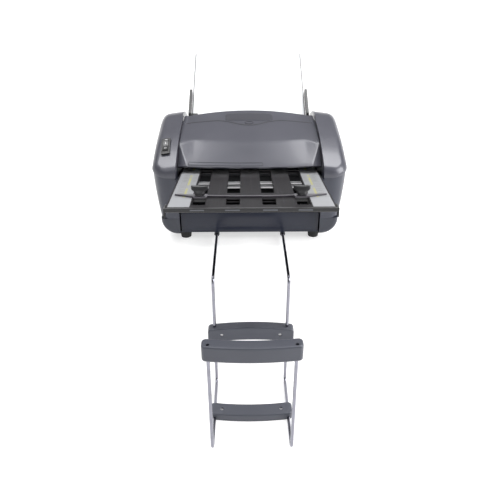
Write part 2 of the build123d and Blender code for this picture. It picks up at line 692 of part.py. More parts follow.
def rack_teeth(side):
    """A rack's toothed strip: straight flanks at the pressure angle, a gap at the centre line."""
    pitch, add, ded = pi * RACK_M, 1.1, RACK_ROOT
    half = pitch / 4 - BACKLASH / 2
    slope = tan(PRESSURE)
    line = PINION_ALONG + side * PINION_R
    teeth = None
    for k in range(-10, 3):
        c = side * (k + 0.5) * pitch
        tip, foot = line - side * add, line + side * ded
        wide, narrow = half + slope * ded, half - slope * add
        tooth = face_of([(c - wide, foot), (c - narrow, tip), (c + narrow, tip), (c + wide, foot)])
        solid = Pos(0, 0, RACK_W[0]) * extrude(tooth, amount=RACK_W[1] - RACK_W[0])
        teeth = solid if teeth is None else teeth + solid
    return teeth


def paper_guide(side):
    """Side guide with its tab and rack moulded on. Side +1 is the right one, its rack below the pinion."""
    outline = face_of([
        (GUIDE_LOW, 0.5),
        (GUIDE_HIGH, 0.5),
        (GUIDE_HIGH, GUIDE_H),
        (GUIDE_STEP + 8, GUIDE_H),
        (GUIDE_STEP, GUIDE_SILL),
        (GUIDE_LOW, GUIDE_SILL),
    ])
    outline = fillet(outline.vertices().group_by(Axis.Y)[-1], 3.0)
    wall = prism_x(outline, *span(side, GUIDE_IN, GUIDE_IN + GUIDE_T))
    centre = PINION_ALONG - side * (PINION_R + RACK_ROOT + 0.1 + RACK_BODY / 2)
    along = (centre - TAB_W / 2, centre + TAB_W / 2)
    foot = block(*span(side, TAB_X - TAB_HALF, GUIDE_IN + 1), *along, 0.5, 3.0)
    tab = block(*span(side, TAB_X - TAB_HALF, TAB_X + TAB_HALF), *along, RACK_W[0], 1.0)
    inner = PINION_ALONG - side * (PINION_R + RACK_ROOT - 0.1)
    outer = PINION_ALONG - side * (PINION_R + RACK_ROOT + 0.1 + RACK_BODY)
    bar = block(*span(side, TAB_X + TAB_HALF, -RACK_PAST), *sorted((inner, outer)), *RACK_W)
    return on_rest(wall + foot + tab + bar + rack_teeth(-side))


def guide_pinion():
    phase = pi / 2
    face = gear_face(PINION_TEETH, RACK_M, phase)
    pinion = Pos(0, PINION_ALONG, RACK_W[0] + 0.1) * extrude(face, amount=RACK_W[1] - RACK_W[0] - 0.2)
    return on_rest(pinion - rod_z(0, PINION_ALONG, 2.5 + RUN, -20, 20))


CHUTE_FLOOR = (-8.0, -6.0)
CHUTE_HIGH = 70.0


def feed_chute():
    """Hopper body under the paper rest: floor, end walls, the pinion's stud and two legs to the frames."""
    half = REST_HALF - 3.0
    floor = block(-half, half, REST_LOW + 4, CHUTE_HIGH, *CHUTE_FLOOR)
    low = block(-half, half, REST_LOW + 4, REST_LOW + 6.5, CHUTE_FLOOR[0], -REST_T - FIT)
    high = block(-half, half, CHUTE_HIGH - 2.5, CHUTE_HIGH, CHUTE_FLOOR[0], -REST_T - FIT)
    chute = floor + low + high + rod_z(0, PINION_ALONG, 2.5, CHUTE_FLOOR[1] - 0.5, -REST_T - FIT)
    for side in (-1, 1):
        x0, x1 = span(side, half - 3, half)
        chute += block(x0, x1, CHUTE_HIGH - 20, CHUTE_HIGH, CHUTE_FLOOR[0], -REST_T - FIT)
        chute += block(x0, x1, REST_LOW + 4, REST_LOW + 26, CHUTE_FLOOR[0] - 8, CHUTE_FLOOR[0] + 1)
    return on_rest(chute)


PAD_W = 22.0
PAD_LIFT, PAD_TOP = 0.6, 4.0  # above the paper plane
ARM_OUTLINE = [(-1.5, 154), (3, 154.8), (30, 151.5), (28, 146.5), (2, 149)]


def separator_arm():
    """Sprung arm on the pivot rod that presses the separator pad to the feed tyres."""
    hub = rod_x(*PIVOT_ROD, 5.0, -PAD_W / 2, PAD_W / 2)
    shoe = on_rest(block(-PAD_W / 2, PAD_W / 2, FEED_ALONG - 9, FEED_ALONG + 9, PAD_TOP, PAD_TOP + 2.5))
    link = prism_x(face_of(ARM_OUTLINE), -PAD_W / 2, PAD_W / 2)
    return hub + link + shoe - rod_x(*PIVOT_ROD, ROD_R + RUN, -PAD_W, PAD_W)


def separator_pad():
    half = PAD_W / 2 - 2
    return on_rest(block(-half, half, FEED_ALONG - 8, FEED_ALONG + 8, PAD_LIFT, PAD_TOP - FIT))


# ---- front fold tray ------------------------------------------------------------------
TRAY_HALF = EAR_IN - 6.0
TRAY_FRONT_Y, TRAY_FRONT_Z = -290.0, 147.0
TRAY_TILT = 6.9
TRAY_L = 248.0
TRAY_PLANE = slope_plane(TRAY_FRONT_Y, TRAY_FRONT_Z, -TRAY_TILT)
SHEET = 1.5
PAPER_GAP = 2.5
OUTER_SLOT = (63.0, 82.0)
INNER_SLOT = (15.5, 35.0)
FRONT_WINDOW = (13.0, 42.0)
REAR_WINDOW = (70.0, 205.0)
LOWER_Z = -2 * SHEET - PAPER_GAP  # underside of the lower plate, below the tray's top
TONGUE_AT = 226.0  # behind this the tray is narrower, to pass between the frames
LIP_T, LIP_TOP, LIP_END = 4.0, 0.4, 2.2
HOOK_DROP = 7.0


def in_tray(solid):
    return TRAY_PLANE * solid


def tray_windows(z0, z1):
    cuts = []
    for side in (-1, 1):
        cuts.append(block(*span(side, *OUTER_SLOT), FRONT_WINDOW[0], REAR_WINDOW[1], z0, z1))
        for u0, u1 in (FRONT_WINDOW, REAR_WINDOW):
            cuts.append(block(*span(side, *INNER_SLOT), u0, u1, z0, z1))
    return cuts


def tray_sheet(z0, z1):
    sheet = block(-TRAY_HALF, TRAY_HALF, 0, TONGUE_AT, z0, z1)
    sheet += block(-FRAME_IN + 4, FRAME_IN - 4, TONGUE_AT - 1, TRAY_L, z0, z1)
    for cut in tray_windows(z0 - 1, z1 + 1):
        sheet -= cut
    return sheet


def tray_upper_plate():
    return in_tray(tray_sheet(-SHEET, 0))


def tray_lower_plate():
    """Lower plate with turned-up sides that carry the upper plate."""
    sheet = tray_sheet(LOWER_Z, LOWER_Z + SHEET)
    for side in (-1, 1):
        sheet += block(*span(side, TRAY_HALF - SHEET, TRAY_HALF), 0, TONGUE_AT, LOWER_Z, -SHEET - FIT)
    return in_tray(sheet)


CROSS_BARS = ((120.0, 130.5), (142.5, 154.0))


def tray_cross_bars():
    """Two bright flat bars under the lower plate, seen through the windows."""
    half = TRAY_HALF - 4
    z1 = LOWER_Z - FIT
    return group(in_tray(block(-half, half, *bar, z1 - SHEET, z1)) for bar in CROSS_BARS)


def tray_lip():
    """Black front bar with a hook at each end."""
    end = TRAY_HALF + LIP_END
    bar = block(-end, end, -LIP_T, -FIT, LOWER_Z, LIP_TOP)
    bar = fillet(bar.edges().filter_by(Axis.X).sort_by(Axis.Y)[:2], 1.2)
    for side in (-1, 1):
        x0, x1 = span(side, TRAY_HALF + AIR, end)
        bar += block(x0, x1, -LIP_T, 16.0, LOWER_Z, LIP_TOP)
        bar += block(x0, x1, -LIP_T, LIP_T, LOWER_Z - HOOK_DROP, LOWER_Z + 1)
    return in_tray(bar)


def tray_ledge():
    """Rail inside the right-hand side cover that the tray slides on."""
    z1 = LOWER_Z - AIR
    u0, u1 = BODY_FRONT - 21 - TRAY_FRONT_Y, BODY_FRONT + 40 - TRAY_FRONT_Y
    return in_tray(block(TRAY_HALF - 6, EAR_IN + 1, u0, u1, z1 - 2.0, z1))


# ---- paper stop on the tray -----------------------------------------------------------
STOP_AT = 50.0
STOP_T = 2.2
CLAMP_X = (OUTER_SLOT[0] + OUTER_SLOT[1]) / 2
POINTER_X = TRAY_HALF - 6.0
KNOB_Z = 4.0
KNOB_HALF = 12.0


def fold_stop_bar():
    """Thin bowed bar across the tray, with a tapered pointer at each end over the scales."""
    z0, z1 = 0.5, 0.5 + STOP_T
    inner = CLAMP_X - 9.5
    bow = make_face([
        ThreePointArc((-inner, STOP_AT - 1), (0, STOP_AT - 4), (inner, STOP_AT - 1)),
        Line((inner, STOP_AT - 1), (inner, STOP_AT + 2)),
        ThreePointArc((inner, STOP_AT + 2), (0, STOP_AT - 1), (-inner, STOP_AT + 2)),
        Line((-inner, STOP_AT + 2), (-inner, STOP_AT - 1)),
    ])
    bar = Pos(0, 0, z0) * extrude(bow, amount=z1 - z0)
    for side in (-1, 1):
        hub = block(*span(side, inner - 1, CLAMP_X + 9.5), STOP_AT - 7, STOP_AT + 7, z0, z1)
        tip = face_of([
            (side * (CLAMP_X + 9), STOP_AT - 5),
            (side * POINTER_X, STOP_AT + 7),
            (side * POINTER_X, STOP_AT + 8),
            (side * (CLAMP_X + 9), STOP_AT + 5),
        ])
        bar = bar + hub + Pos(0, 0, z0) * extrude(tip, amount=z1 - z0)
        bar -= rod_z(side * CLAMP_X, STOP_AT, 3.0 + RUN, z0 - 1, z1 + 1)
    return in_tray(bar)


def stop_clamps():
    """Two clamp blocks in the outer slots: a foot between the plates, a shank and a round neck."""
    blocks = []
    for side in (-1, 1):
        x = side * CLAMP_X
        foot = block(x - 13, x + 13, STOP_AT - 7, STOP_AT + 7, -SHEET - PAPER_GAP + 0.4, -SHEET - 0.4)
        shank = block(x - 8.7, x + 8.7, STOP_AT - 6, STOP_AT + 6, LOWER_Z + 0.3, 0.3)
        neck = rod_z(x, STOP_AT, 3.0, 0, KNOB_Z + 8)
        blocks.append(in_tray(foot + shank + neck))
    return group(blocks)


def clamp_knob(side):
    """Winged thumb knob on a clamp's neck."""
    x = side * CLAMP_X
    hub = rod_z(x, STOP_AT, 7.5, KNOB_Z, KNOB_Z + 7)
    wings = block(x - KNOB_HALF, x + KNOB_HALF, STOP_AT - 2.6, STOP_AT + 2.6, KNOB_Z + 1.5, KNOB_Z + 13)
    wings = fillet(wings.edges().filter_by(Axis.Y), 3.0)
    knob = hub + wings
    return in_tray(knob - rod_z(x, STOP_AT, 3.0 + RUN, KNOB_Z - 1, KNOB_Z + 8.2))


# ---- rear fold plate ------------------------------------------------------------------
REAR_PLATE_HALF = 100.0
REAR_PLATE_TILT = 14.5
REAR_PLATE_START = (10.0, 85.0)
REAR_PLATE_L = 112.0
REAR_PLANE = slope_plane(*REAR_PLATE_START, -REAR_PLATE_TILT)


def rear_fold_plate():
    """Pair of plates behind the rollers, joined along both sides, with two stop slots."""
    plate = block(-REAR_PLATE_HALF, REAR_PLATE_HALF, 0, REAR_PLATE_L, -5.5, 0)
    plate -= block(-REAR_PLATE_HALF + 2, REAR_PLATE_HALF - 2, -1, REAR_PLATE_L + 1, -4.0, -1.5)
    for side in (-1, 1):
        plate -= block(*span(side, 40, 50), 30, REAR_PLATE_L - 8, -7, 1)
        plate += block(*span(side, REAR_PLATE_HALF - 1, FRAME_IN - FIT), 20, 50, -5.5, -3.5)
    return REAR_PLANE * plate


def rear_fold_stop():
    """Stop bar across the rear plate, with fingers down the two slots."""
    at = REAR_PLATE_L - 22
    bar = block(-70, 70, at - 4, at + 4, 0.4, 5.0)
    for side in (-1, 1):
        bar += block(*span(side, 41, 49), at - 3, at + 3, -3.8, 1.0)
        bar += rod_z(side * 60, at, 5, 4.5, 10)
    return REAR_PLANE * bar


def control_board():
    """Circuit board on four posts, with its relay, transformer and connector."""
    z0 = FOOT_H + WALL + FIT
    board = block(10, 92, 30, 88, z0 + 6, z0 + 7.6)
    for x, y in ((14, 34), (88, 34), (14, 84), (88, 84)):
        board += rod_z(x, y, 2.5, z0, z0 + 6.5)
    board += block(20, 46, 40, 62, z0 + 7, z0 + 25)
    board += block(56, 72, 38, 48, z0 + 7, z0 + 20)
    board += rod_z(62, 70, 6, z0 + 7, z0 + 27)
    return board + block(20, 50, 74, 82, z0 + 7, z0 + 14)


# ---- stacker --------------------------------------------------------------------------
WIRE_R = 2.5
WIRE_X = 58.5
WIRE_Z = 8.0
WIRE_BEND = 9.0
SOCKET_R = 4.6
SOCKET_L = 62.0
SOCKET_FRONT = BODY_FRONT + 4.0
STACKER_BACK_Y = -250.0
STACKER_FRONT_Y = -395.5
STACKER_FLOOR_Z = -196.0
STACKER_RIM_Z = -3.0
BACK_BAR_HALF, FLOOR_BAR_HALF, FRONT_BAR_HALF = 69.4, 64.8, 67.0
BAR_H = 25.0
BAR_T = 18.0
BAR_BOW = 5.0
FOOT_STUD_R = 3.0


def stacker_wires():
    """Two bent wires: out from the base, down, along the stacker's floor and up to its front bar."""
    wires = []
    for side in (-1, 1):
        x = side * WIRE_X
        path = FilletPolyline(
            (x, SOCKET_FRONT + SOCKET_L - 5, WIRE_Z),
            (x, STACKER_BACK_Y, WIRE_Z),
            (x, STACKER_BACK_Y, STACKER_FLOOR_Z),
            (x, STACKER_FRONT_Y, STACKER_FLOOR_Z),
            (x, STACKER_FRONT_Y, STACKER_RIM_Z),
            radius=WIRE_BEND,
        )
        start = Plane(origin=path @ 0, z_dir=path % 0)
        wires.append(sweep(start * Circle(WIRE_R), path=path))
    return group(wires)


def bar_blank(half, height, depth):
    """A bar along X with rounded ends and edges: height along Z, depth along Y, bowed towards +Z."""
    top, low, drop = height / 2, -height / 2, BAR_BOW
    outline = make_face([
        ThreePointArc((-half, top - drop), (0, top), (half, top - drop)),
        Line((half, top - drop), (half, low - drop)),
        ThreePointArc((half, low - drop), (0, low), (-half, low - drop)),
        Line((-half, low - drop), (-half, top - drop)),
    ])
    bar = prism_y(outline, -depth / 2, depth / 2)
    bar = fillet(bar.edges().filter_by(Axis.Y), 6.0)
    rims = bar.edges().filter_by(lambda e: abs(abs(e.center().Y) - depth / 2) < 0.01)
    return fillet(rims, 2.5)


SCREW_X = 47.0
SCREW_R = 2.6
SCREW_DEEP = 3.0  # depth of the hole
SCREW_SUNK = 1.4  # the screw's top below the face
SCREW_DROP = 2.0  # below the middle of the bar's bowed centre


def cross_bar(half):
    """Back or floor bar, drawn upright: bowed up, with two screw holes sunk in its front face."""
    bar = bar_blank(half, BAR_H, BAR_T)
    for side in (-1, 1):
        bar -= rod_y(side * SCREW_X, -SCREW_DROP, SCREW_R, -BAR_T / 2 - 1, -BAR_T / 2 + SCREW_DEEP)
    return bar


BACK_BAR_Z = -91.0
FLOOR_BAR_Y = -328.0
FRONT_BAR_Z = -11.5
LAID = Rot(0, 0, 180) * Rot(-90, 0, 0)  # lays a bar on its back, bowed to the front


def stacker_back_bar():
    bar = Pos(0, STACKER_BACK_Y, BACK_BAR_Z) * cross_bar(BACK_BAR_HALF)
    for side in (-1, 1):
        bar -= rod_z(side * WIRE_X, STACKER_BACK_Y, WIRE_R + FIT, BACK_BAR_Z - 40, BACK_BAR_Z + 40)
    return bar


def stacker_floor_bar():
    """A like bar laid across the floor of the stacker, bowed to the front."""
    bar = Pos(0, FLOOR_BAR_Y, STACKER_FLOOR_Z) * LAID * cross_bar(FLOOR_BAR_HALF)
    for side in (-1, 1):
        bar -= rod_y(side * WIRE_X, STACKER_FLOOR_Z, WIRE_R + FIT, FLOOR_BAR_Y - 40, FLOOR_BAR_Y + 40)
    return bar


def stacker_front_bar():
    """Front bar on top of the two uprights, bowed to the front, with an open hole over each wire."""
    bar = Pos(0, STACKER_FRONT_Y, FRONT_BAR_Z) * LAID * bar_blank(FRONT_BAR_HALF, BAR_T + 1, BAR_H)
    for side in (-1, 1):
        bar -= rod_z(side * WIRE_X, STACKER_FRONT_Y, WIRE_R + FIT, STACKER_RIM_Z - 60, STACKER_RIM_Z + 60)
    return bar


def stacker_screws():
    """Clamp screws sunk in the back and floor bars."""
    screws = []
    for side in (-1, 1):
        x = side * SCREW_X
        y0, z1 = STACKER_BACK_Y - BAR_T / 2, STACKER_FLOOR_Z + BAR_T / 2
        back = rod_y(x, BACK_BAR_Z - SCREW_DROP, SCREW_R - FIT, y0 + SCREW_SUNK, y0 + SCREW_DEEP)
        floor = rod_z(x, FLOOR_BAR_Y + SCREW_DROP, SCREW_R - FIT, z1 - SCREW_DEEP, z1 - SCREW_SUNK)
        screws += [back, floor]
    return group(screws)


SOLE_R, FOOT_TOP_R = 9.0, 10.5


def rubber_feet():
    """Four feet with a stud that presses into the base."""
    feet = []
    for x in (-FEET_X, FEET_X):
        for y in (-FEET_Y, FEET_Y):
            foot = Pos(x, y, (FOOT_H - FIT) / 2) * Cone(SOLE_R, FOOT_TOP_R, FOOT_H - FIT)
            feet.append(foot + rod_z(x, y, FOOT_STUD_R, FOOT_H - 1, FOOT_H + WALL))
    return group(feet)


# ---- the whole machine ----------------------------------------------------------------


def build():
    right_cover = side_cover()
    right_cap = side_cap()
    gears, idler_gear, feed_gear = fold_gears()
    nodes = {
        "base_pan": base_pan(),
        "rubber_feet": rubber_feet(),
        "front_panel": front_panel(),
        "rear_cover": rear_cover(),
        "right_side_cover": right_cover,
        "left_side_cover": mirror(right_cover, Plane.YZ),
        "right_top_cap": right_cap - hinge_hole(1),
        "left_top_cap": mirror(right_cap, Plane.YZ) - hinge_hole(-1) - switch_hole(),
        "top_cover": top_cover(),
        "paper_rest": paper_rest(),
        "feed_chute": feed_chute(),
        "paper_guide_left": paper_guide(-1),
        "paper_guide_right": paper_guide(1),
        "guide_pinion": guide_pinion(),
        "separator_arm": separator_arm(),
        "separator_pad": separator_pad(),
        "left_frame": side_frame(-1),
        "right_frame": side_frame(1),
        "tie_rods": tie_rods(),
        "bearing_bushes": bearing_bushes(),
        "feed_tyres": feed_tyres(),
        "feed_shaft": roller_shaft(FEED_CENTRE),
        "feed_gear": feed_gear,
        "idler_gear": idler_gear,
        "roller_pulley": roller_pulley(),
        "motor_pulley": motor_pulley(),
        "drive_motor": drive_motor(),
        "drive_belt": drive_belt(),
        "tray_upper_plate": tray_upper_plate(),
        "tray_lower_plate": tray_lower_plate(),
        "tray_cross_bars": tray_cross_bars(),
        "tray_lip": tray_lip(),
        "fold_stop_bar": fold_stop_bar(),
        "stop_clamps": stop_clamps(),
        "clamp_knob_left": clamp_knob(-1),
        "clamp_knob_right": clamp_knob(1),
        "rear_fold_plate": rear_fold_plate(),
        "rear_fold_stop": rear_fold_stop(),
        "switch_bezel": switch_bezel(),
        "switch_rocker": switch_rocker(),
        "power_inlet": power_inlet(),
        "control_board": control_board(),
        "stacker_wires": stacker_wires(),
        "stacker_back_bar": stacker_back_bar(),
        "stacker_floor_bar": stacker_floor_bar(),
        "stacker_front_bar": stacker_front_bar(),
        "stacker_screws": stacker_screws(),
    }
    for k, centre in enumerate(FOLD_ROLLERS):
        nodes[f"fold_roller_{k + 1}"] = roller_sleeve(centre)
        nodes[f"fold_shaft_{k + 1}"] = roller_shaft(centre)
        nodes[f"fold_gear_{k + 1}"] = gears[k]
    return nodes


os.makedirs("parts", exist_ok=True)
for name, shape in build().items():
    export_step(shape, f"parts/{name}.step")
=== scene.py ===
"""Looks of a desktop letter folding machine: its finishes, cover skin, scales, knobs and marks, and the stage."""
import json
import math

import bmesh
import bpy
import numpy as np
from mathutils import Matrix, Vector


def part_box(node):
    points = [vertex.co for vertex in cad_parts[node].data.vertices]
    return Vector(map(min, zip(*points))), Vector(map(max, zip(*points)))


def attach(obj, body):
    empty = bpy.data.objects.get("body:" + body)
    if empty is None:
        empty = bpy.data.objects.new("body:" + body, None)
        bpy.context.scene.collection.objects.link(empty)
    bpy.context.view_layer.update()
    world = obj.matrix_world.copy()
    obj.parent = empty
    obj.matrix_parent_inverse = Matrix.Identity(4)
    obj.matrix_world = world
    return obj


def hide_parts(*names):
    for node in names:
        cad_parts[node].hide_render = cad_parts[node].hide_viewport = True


bl_info = {
    "name": "Letter Folder Looks",
    "version": (1, 0, 0),
    "blender": (4, 5, 0),
    "location": "3D View > Sidebar > Folder",
    "description": "Finishes and detail pieces of a desktop letter folding machine",
    "category": "Object",
}

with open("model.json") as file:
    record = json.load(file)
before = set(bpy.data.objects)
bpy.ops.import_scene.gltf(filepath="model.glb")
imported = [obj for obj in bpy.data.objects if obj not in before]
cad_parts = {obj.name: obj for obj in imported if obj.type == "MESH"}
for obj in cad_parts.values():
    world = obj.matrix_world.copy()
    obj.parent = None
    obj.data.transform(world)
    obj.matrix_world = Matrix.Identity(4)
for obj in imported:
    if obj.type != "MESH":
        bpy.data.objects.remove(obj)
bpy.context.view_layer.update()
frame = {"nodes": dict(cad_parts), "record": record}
NODES = frame["nodes"]
RECORD = frame["record"]


def joint(name):
    """The record's joint of that name."""
    return next(j for j in RECORD["behaviour"]["joints"] if j["name"] == name)


def box_of(node):
    """Lowest and highest corner of a node, as two arrays in metres."""
    low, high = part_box(node)
    return np.array(low), np.array(high)


# ---- settings ------------------------------------------------------------------------------


def length(name, text, default):
    """A length that a user may change, in metres."""
    return bpy.props.FloatProperty(name=name, description=text, default=default, unit="LENGTH", precision=5)


def colour(name, text, default):
    """A linear colour that a user may change."""
    return bpy.props.FloatVectorProperty(
        name=name, description=text, default=default, subtype="COLOR", size=3, min=0.0, max=1.0
    )


class FolderSizes(bpy.types.PropertyGroup):
    """Sizes of the detail pieces."""

    skin: length("Cover thickness", "Wall of the moulded top cover", 0.0024)
    ridge_back: length("Ridge wave", "How far the cover's ridge runs back near its ends", 0.008)
    ridge_up: length("Ridge lift", "How far the ridge rises there", 0.0026)
    facet: length("Facet width", "Width of the cover's dark corner facets at the front edge", 0.017)
    brow: length("Brow step", "Height of the step behind the cover's brow line", 0.0015)
    scale_pitch: length("Scale pitch", "Distance between two lines of the tray's scales", 0.005)
    edge: length("Edge radius", "Softness of moulded edges", 0.0006)


class FolderColours(bpy.types.PropertyGroup):
    """Colours of the finishes."""

    shell: colour("Shell", "Charcoal upper casing", (0.064, 0.065, 0.082))
    # partly painted shade: the base is the shell's charcoal with a blue tint, made darker for the shade on the
    # lowest casing
    lower: colour("Base", "Darker lower casing", (0.020, 0.023, 0.036))
    # painted shade: the side covers are the shell's charcoal, made darker for the shade on the lower casing
    side: colour("Side covers", "Casing below the parting line", (0.028, 0.031, 0.047))
    panel: colour("Panel", "Gloss front panel", (0.017, 0.020, 0.034))
    black: colour("Black", "Black fittings", (0.012, 0.012, 0.014))
    rest: colour("Rest", "White paper rest", (0.86, 0.87, 0.89))
    tray: colour("Tray", "Dark tray plates", (0.018, 0.017, 0.019))
    scale: colour("Scale", "Pale tray scales", (0.27, 0.275, 0.29))
    bars: colour("Bars", "Charcoal stacker bars", (0.068, 0.072, 0.090))
    backdrop: colour("Backdrop", "Floor under the machine", (0.62, 0.62, 0.62))


# ---- shader building -----------------------------------------------------------------------


class Value:
    """A shader socket that takes part in arithmetic; each operator adds a Math node."""

    def __init__(self, shader, socket):
        self.shader = shader
        self.socket = socket

    def math(self, operation, first, second):
        return self.shader.node("ShaderNodeMath", {0: first, 1: second}, operation=operation)

    def __add__(self, other):
        return self.math("ADD", self, other)

    def __sub__(self, other):
        return self.math("SUBTRACT", self, other)

    def __mul__(self, other):
        return self.math("MULTIPLY", self, other)

    def __truediv__(self, other):
        return self.math("DIVIDE", self, other)

    def __rsub__(self, other):
        return self.math("SUBTRACT", other, self)

    __radd__ = __add__
    __rmul__ = __mul__

    def __gt__(self, other):
        return self.math("GREATER_THAN", self, other)

    def __lt__(self, other):
        return self.math("LESS_THAN", self, other)

    def wrap(self, pitch):
        """Distance to the nearest multiple of a pitch."""
        return self.shader.node("ShaderNodeMath", {0: self, 1: pitch * 0.5}, operation="PINGPONG")

    def floor(self):
        """The whole number below the value."""
        return self.shader.node("ShaderNodeMath", {0: self}, operation="FLOOR")

    def size(self):
        """The value without its sign."""
        return self.shader.node("ShaderNodeMath", {0: self}, operation="ABSOLUTE")


class Nodes:
    """One node tree, built node by node."""

    def __init__(self, tree):
        self.tree = tree

    def node(self, kind, inputs=None, out=0, stops=None, **settings):
        """Adds a node: its settings, a ramp's stops, then the values or links of its sockets."""
        made = self.tree.nodes.new(kind)
        for key, value in settings.items():
            setattr(made, key, value)
        if stops:
            ramp = made.color_ramp
            while len(ramp.elements) < len(stops):
                ramp.elements.new(0.5)
            for element, (position, tone) in zip(ramp.elements, stops):
                element.position = position
                element.color = (tone, tone, tone, 1.0)
        for key, value in (inputs or {}).items():
            self.feed(made.inputs[key], value)
        return Value(self, made.outputs[out])

    def feed(self, socket, value):
        """Links a value to a socket, or sets the socket's own value."""
        if isinstance(value, Value):
            self.tree.links.new(value.socket, socket)
        elif isinstance(value, (tuple, list)) and len(socket.default_value) == 4:
            socket.default_value = (*value[:3], 1.0)
        else:
            socket.default_value = value

    def ramp(self, value, *stops):
        """Grey levels at positions along a value from 0 to 1."""
        return self.node("ShaderNodeValToRGB", {0: value}, stops=stops)

    def mix(self, factor, first, second):
        """A colour between two colours."""
        return self.node("ShaderNodeMix", {0: factor, 6: first, 7: second}, out=2, data_type="RGBA")


class Shader(Nodes):
    """One material and its principled surface."""

    def __init__(self, name):
        self.material = bpy.data.materials.new(name)
        self.material.use_nodes = True
        super().__init__(self.material.node_tree)
        self.surface = self.tree.nodes["Principled BSDF"]
        self.place = self.node("ShaderNodeTexCoord", out="Object")

    def set(self, **values):
        """Feeds the surface's sockets, named with underscores for spaces."""
        for key, value in values.items():
            self.feed(self.surface.inputs[key.replace("_", " ")], value)

    def axes(self):
        """The three object coordinates as separate values."""
        split = self.node("ShaderNodeSeparateXYZ", {0: self.place})
        return [Value(self, output) for output in split.socket.node.outputs]

    def noise(self, scale, detail=2.0, stretch=(1.0, 1.0, 1.0)):
        """Noise on the object's coordinates, stretched along its axes."""
        at = self.node("ShaderNodeMapping", {"Vector": self.place, "Scale": stretch})
        return self.node("ShaderNodeTexNoise", {"Vector": at, "Scale": scale, "Detail": detail})

    def relief(self, height, depth, edge=0.0):
        """Bump from a height, on edges rounded to a radius."""
        inputs = {"Height": height, "Distance": depth, "Strength": 1.0}
        if edge:
            inputs["Normal"] = self.node("ShaderNodeBevel", {"Radius": edge}, samples=4)
        self.set(Normal=self.node("ShaderNodeBump", inputs))


def shade(tone, factor):
    """A colour made lighter or darker."""
    return tuple(min(1.0, channel * factor) for channel in tone)


def moulded(name, tone, rough, metallic=0.0, coat=0.0, grain=0.00004, spread=0.10, gloss=0.5):
    """Moulded plastic: fine spark-eroded grain, slow tone drift, smoother worn patches."""
    sizes = bpy.context.scene.folder_sizes
    s = Shader(name)
    cloud = s.noise(9.0, 3.0)
    speck = s.noise(1700.0, 1.0)
    worn = s.ramp(s.noise(34.0, 4.0), (0.35, 0.0), (0.75, 1.0))
    s.set(Base_Color=s.mix(cloud, shade(tone, 1 - spread), shade(tone, 1 + spread)))
    s.set(Roughness=rough + 0.07 * worn + 0.05 * speck)
    s.set(Metallic=metallic, Specular_IOR_Level=gloss, Coat_Weight=coat, Coat_Roughness=0.12)
    s.relief(speck, grain, sizes.edge)
    return s.material


BRUSH_STRETCH = (1.2, 60.0, 60.0)


def brushed(name, tone, rough):
    """Plated metal with fine lines along X and faint clouding."""
    s = Shader(name)
    lines = s.noise(26.0, 3.0, BRUSH_STRETCH)
    cloud = s.noise(14.0, 3.0)
    s.set(Base_Color=s.mix(cloud, shade(tone, 0.86), shade(tone, 1.08)))
    s.set(Roughness=rough + 0.16 * lines, Metallic=1.0)
    s.relief(lines, 0.00003)
    return s.material


def chrome(name):
    """Chrome over a dark ground, with a few cloudy handling marks."""
    s = Shader(name)
    marks = s.ramp(s.noise(55.0, 4.0), (0.52, 0.0), (0.72, 1.0))
    s.set(Base_Color=s.mix(marks, (0.27, 0.27, 0.31), (0.21, 0.21, 0.24)))
    s.set(Roughness=0.09 + 0.10 * marks, Metallic=1.0)
    s.relief(marks, 0.000005)
    return s.material


def rubbery(name, tone, rough=0.8):
    """Ground rubber: matt, with a fine tooth and dusty patches."""
    s = Shader(name)
    tooth = s.noise(900.0, 4.0)
    dust = s.ramp(s.noise(40.0, 4.0), (0.45, 0.0), (0.8, 1.0))
    s.set(Base_Color=s.mix(0.5 * dust, tone, shade(tone, 2.0)))
    s.set(Roughness=rough + 0.1 * tooth)
    s.relief(tooth, 0.00012)
    return s.material


REST_BAND = 0.0026  # width of the dark band along each side of the rest


def paper_white(name, tone):
    """White rest: a smooth sheet with a thin dark band along each side."""
    s = Shader(name)
    x, _, _ = s.axes()
    half = float(box_of("paper_rest")[1][0])
    near = x.size() > half - REST_BAND
    fibre = s.noise(420.0, 5.0)
    pale = s.mix(fibre, shade(tone, 0.985), shade(tone, 1.01))
    s.set(Base_Color=s.mix(0.9 * near, pale, (0.12, 0.12, 0.13)))
    s.set(Roughness=0.42 + 0.1 * fibre)
    s.relief(fibre, 0.00002)
    return s.material


def painted_tray(name, tone):
    """Dark satin paint with a little orange peel and pale scuffs along the paper's way."""
    s = Shader(name)
    peel = s.noise(520.0, 2.0)
    scuff = s.ramp(s.noise(12.0, 5.0, (14.0, 1.0, 1.0)), (0.58, 0.0), (0.8, 1.0))
    s.set(Base_Color=s.mix(0.35 * scuff, tone, shade(tone, 1.9)))
    s.set(Roughness=0.48 + 0.08 * peel - 0.06 * scuff, Specular_IOR_Level=0.2)
    s.relief(peel, 0.00003, 0.0003)
    return s.material


SCALE_PRINT_FROM = 0.047  # distance along the tray behind which the scales are printed
SCALE_RULES = (0.0905, 0.0980, 0.1065)  # distances of the long rules from the centre plane
SCALE_TICKS_TO = 0.098
SCALE_LINE, SCALE_THICK_LINE = 0.00028, 0.0005  # half widths
DASH_COLUMNS = ((0.0872, 0.0022), (0.1022, 0.0030))  # each centre and half width
DASH_PITCH, BLOCK_PITCH = 0.36, 1.7  # parts of the scale's pitch
BLOCK_AT, BLOCK_HALF = 0.0950, 0.0016


